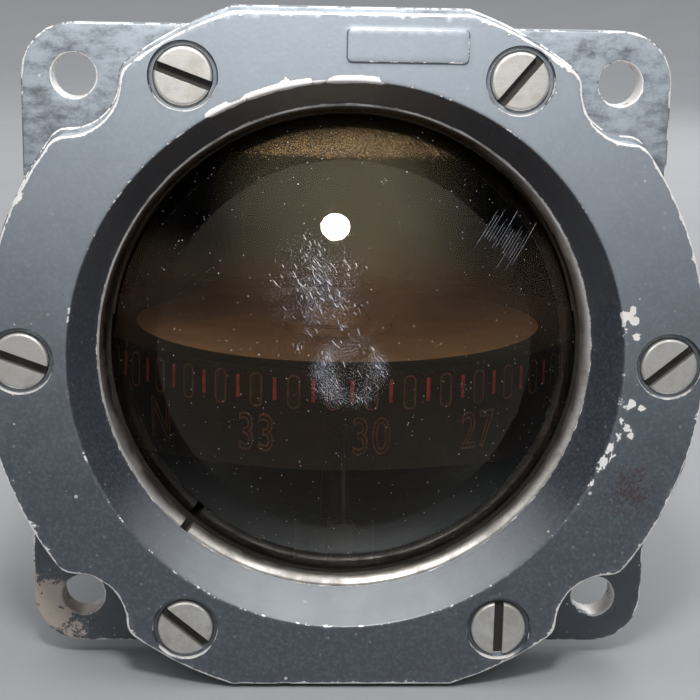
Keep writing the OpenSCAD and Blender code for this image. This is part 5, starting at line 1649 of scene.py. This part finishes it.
class COMPASS_OT_screws(bpy.types.Operator):
    """Make the slotted screws of the bezel, the rear cover and the compensator"""

    bl_idname = "compass.screws"
    bl_label = "Make screws"

    def execute(self, context):
        tree = copies_tree()
        front, rear, up = (0, -1, 0), (0, 1, 0), (0, 0, 1)
        places = [(facing(*polar(SCREW_CIRCLE_R, 60 * k), BEZEL_FRONT), front, turn)
                  for k, turn in enumerate(SLOT_TURNS)]
        master = screw_master("cheese_head", SCREW_HEAD_R, SCREW_HEAD_H, 2.0, 6.6, 1.19, 1.09)
        add_screws("bezel_screw_set", master, places, "bezel_screws", tree)
        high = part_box("rear_cover_screws")[1]
        places = []
        for k in range(6):
            p = polar(COVER_SCREW_CIRCLE_R, 60 * k + 30)
            places.append(((p.x, high.y / MM, p.y), rear, 35 + 17 * k))
        master = screw_master("cover_head", SMALL_SCREW_R, 2.0, 1.5, 9.9, 0.94, 0.84)
        add_screws("cover_screw_set", master, places, "rear_cover_screws", tree)
        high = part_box("compensator_foot_screws")[1]
        apart = high.x / MM - SMALL_SCREW_R
        places = [((side * apart, high.y / MM, 0.0), rear, 50 * side) for side in (-1, 1)]
        master = screw_master("foot_head", SMALL_SCREW_R, 2.0, 1.5, 6.7, 0.94, 0.84)
        add_screws("foot_screw_set", master, places, "compensator_foot_screws", tree)
        low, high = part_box("compensator_lid_screws")
        corners = [(x, y) for x in (low.x / MM + LID_SCREW_R, high.x / MM - LID_SCREW_R)
                   for y in (low.y / MM + LID_SCREW_R, high.y / MM - LID_SCREW_R)]
        places = [((x, y, high.z / MM), up, 15 + 40 * k) for k, (x, y) in enumerate(corners)]
        master = screw_master("lid_head", LID_SCREW_R, 0.96, 0.8, 7.0, 0.54, 0.40)
        add_screws("lid_screw_set", master, places, "compensator_lid_screws", tree)
        return {"FINISHED"}


def softened_copy(label, node, width, finish, body, slot):
    """A CAD node's own mesh, joined up and with its edges rounded."""
    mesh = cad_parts[node].data.copy()
    mesh.materials.clear()
    with opened(mesh) as work:
        bmesh.ops.remove_doubles(work, verts=work.verts, dist=1e-6)
        bmesh.ops.dissolve_limit(
            work, angle_limit=math.radians(1.0), verts=work.verts, edges=work.edges,
            use_dissolve_boundaries=False)
    mesh.materials.append(finish_of(finish))
    holder = loose_object(label + "_base", mesh)
    soften(holder, width, 35)
    made = evaluated_mesh(holder, label)
    made.shade_smooth()
    made.set_sharp_from_angle(angle=math.radians(40))
    mark_directions(made)
    add_piece(label, made, body, slot, node)


class COMPASS_OT_rear(bpy.types.Operator):
    """Round the edges of the rear cover, the compensator and the plugs"""

    bl_idname = "compass.rear"
    bl_label = "Make rear"

    def execute(self, context):
        paint, nickel, brass = (
            ("casing_paint", "black_paint"), ("screw_nickel", "nickel_brass"), ("old_brass", "aged_brass"))
        for label, node, width, (finish, slot), body in (
                ("rear_cover_body", "rear_cover", 0.4, paint, "casing"),
                ("compensator_body", "compensator_housing", 0.3, paint, "casing"),
                ("compensator_top", "compensator_lid", 0.3, paint, "casing"),
                ("filler_plug_body", "filler_plug", 0.2, nickel, "casing"),
                ("post_screw_body", "post_screw", 0.15, brass, "casing"),
                ("b_spindle_body", "b_adjuster_spindle", 0.15, brass, "b_adjuster"),
                ("c_spindle_body", "c_adjuster_spindle", 0.15, brass, "c_adjuster")):
            softened_copy(label, node, width, finish, body, slot)
        return {"FINISHED"}


class COMPASS_OT_inner(bpy.types.Operator):
    """Give the CAD pieces that stay their finishes"""

    bl_idname = "compass.inner"
    bl_label = "Finish inner pieces"

    def execute(self, context):
        finishes = {
            "dark_bronze": ("lubber_bracket", "lubber_pointer", "lubber_screws", "pivot_post", "card_float",
                            "float_base", "magnet_carrier"),
            "card_disc": ("jewel_setting",),
            "old_brass": ("b_adjuster_gear", "b_follower_gear", "b_follower_shaft",
                          "c_adjuster_gear", "c_follower_gear", "c_follower_shaft"),
            "bowl_inside": ("expansion_diaphragm",),
            "polished_steel": ("pivot_pin",),
            "dark_steel": ("card_magnets", "b_adjuster_magnet", "b_follower_magnet", "c_adjuster_magnet",
                           "c_follower_magnet"),
            "black_rubber": ("glass_gasket", "rear_gasket"),
            "red_fibre": ("post_screw_washer", "filler_washer"),
            "ruby_jewel": ("jewel_cup",),
        }
        for finish, nodes in finishes.items():
            for node in nodes:
                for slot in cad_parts[node].material_slots:
                    slot.material = finish_of(finish)
        return {"FINISHED"}


class COMPASS_OT_stage(bpy.types.Operator):
    """Make the floor, the lights, the room and the camera"""

    bl_idname = "compass.stage"
    bl_label = "Make stage"

    def execute(self, context):
        stage = context.scene.compass_stage
        context.scene.view_settings.view_transform = "Standard"
        self.add_floor(tuple(stage.floor))
        self.add_room(stage)
        self.add_lamp("key_box", KEY_PLACE, KEY_AIM, 0.042, stage.key_power, 55.0)
        self.add_lamp("rear_box", REAR_PLACE, REAR_AIM, 0.5, stage.rear_power, 180.0)
        self.add_camera(stage.lens)
        return {"FINISHED"}

    def add_floor(self, colour):
        """A round sheet of pale matt paper that bends up all around."""
        _, words, shader = new_material("floor_paper", {"Roughness": 0.9, "Specular IOR Level": 0.1})
        cloud = words.effect("Mottle", {"Scale": 0.02, "Grain": 1.0})["Cloud"]
        words.put(shader.inputs["Base Color"], words.mix(cloud, colour, shaded(colour, 0.97)))
        shell = Shell()
        section = [(120.0, 0.0), (600.0, 0.0), (FLOOR_R, 0.0)]
        section += arc((FLOOR_R, FLOOR_BEND_R), FLOOR_BEND_R, -90, 0, 12)
        rings = [shell.add([Vector((p.x, p.y, rise - RING_HALF_H)) for p in circle(radius, 96)])
                 for radius, rise in section]
        shell.strip(rings)
        shell.face(rings[0])
        floor = loose_object("floor", shell.mesh("floor", "floor_paper"))

    def add_room(self, stage):
        """Soft light from all around, brightest overhead."""
        world = bpy.data.worlds.new("room")
        world.use_nodes = True
        words = Tree(world.node_tree)
        background = world.node_tree.nodes["Background"]
        background.inputs["Color"].default_value = (0.96, 0.98, 1.0, 1.0)
        rise = words.axes(words.node("ShaderNodeTexCoord").outputs["Generated"])["Z"]
        strength = words.span(rise, 0.15, 0.95, stage.horizon_light, stage.ceiling_light)
        words.put(background.inputs["Strength"], strength)
        bpy.context.scene.world = world

    def add_lamp(self, label, place, aim, size, power, spread):
        """A round soft box with its spread in degrees."""
        lamp = bpy.data.lights.new(label, "AREA")
        lamp.shape = "DISK"
        lamp.size = size
        lamp.energy = power
        lamp.spread = math.radians(spread)
        made = loose_object(label, lamp)
        made.location = Vector(place) * MM
        made.rotation_euler = (Vector(aim) - Vector(place)).to_track_quat("-Z", "Y").to_euler()
        made.visible_camera = False

    def add_camera(self, lens):
        """The camera of the photograph, as fitted to the bezel's screws."""
        camera = loose_object("photo_camera", bpy.data.cameras.new("photo_camera"))
        camera.data.sensor_width = 36.0
        camera.data.lens = lens
        camera.data.clip_start = 0.005
        turn = Matrix(CAMERA_AXES).to_4x4()
        camera.matrix_world = Matrix.Translation(Vector(CAMERA_PLACE) * MM) @ turn
        bpy.context.scene.camera = camera


OPERATORS = (
    COMPASS_OT_finishes, COMPASS_OT_stage, COMPASS_OT_bezel, COMPASS_OT_casing, COMPASS_OT_clamp_ring,
    COMPASS_OT_window, COMPASS_OT_fluid, COMPASS_OT_card, COMPASS_OT_screws, COMPASS_OT_rear,
    COMPASS_OT_inner)


class COMPASS_PT_panel(bpy.types.Panel):
    """Sizes, colours and steps of the compass"""

    bl_idname = "COMPASS_PT_panel"
    bl_label = "Compass"
    bl_space_type = "VIEW_3D"
    bl_region_type = "UI"
    bl_category = "Compass"

    def draw(self, context):
        for group in (context.scene.compass_shape, context.scene.compass_finish, context.scene.compass_stage):
            box = self.layout.box()
            for name in group.__annotations__:
                box.prop(group, name)
        for operator in OPERATORS:
            self.layout.operator(operator.bl_idname)


GROUPS = {"compass_shape": CompassShape, "compass_finish": CompassFinish, "compass_stage": CompassStage}


def register():
    """Add the settings, the operators and the panel."""
    for name, group in GROUPS.items():
        bpy.utils.register_class(group)
        setattr(bpy.types.Scene, name, PointerProperty(type=group))
    for made in (*OPERATORS, COMPASS_PT_panel):
        bpy.utils.register_class(made)


def unregister():
    """Take away what register added."""
    for made in reversed((*OPERATORS, COMPASS_PT_panel)):
        bpy.utils.unregister_class(made)
    for name, group in GROUPS.items():
        delattr(bpy.types.Scene, name)
        bpy.utils.unregister_class(group)


def main():
    """Build the whole compass and its stage."""
    register()
    for operator in OPERATORS:
        family, step = operator.bl_idname.split(".")
        getattr(getattr(bpy.ops, family), step)()


if __name__ == "__main__":
    main()
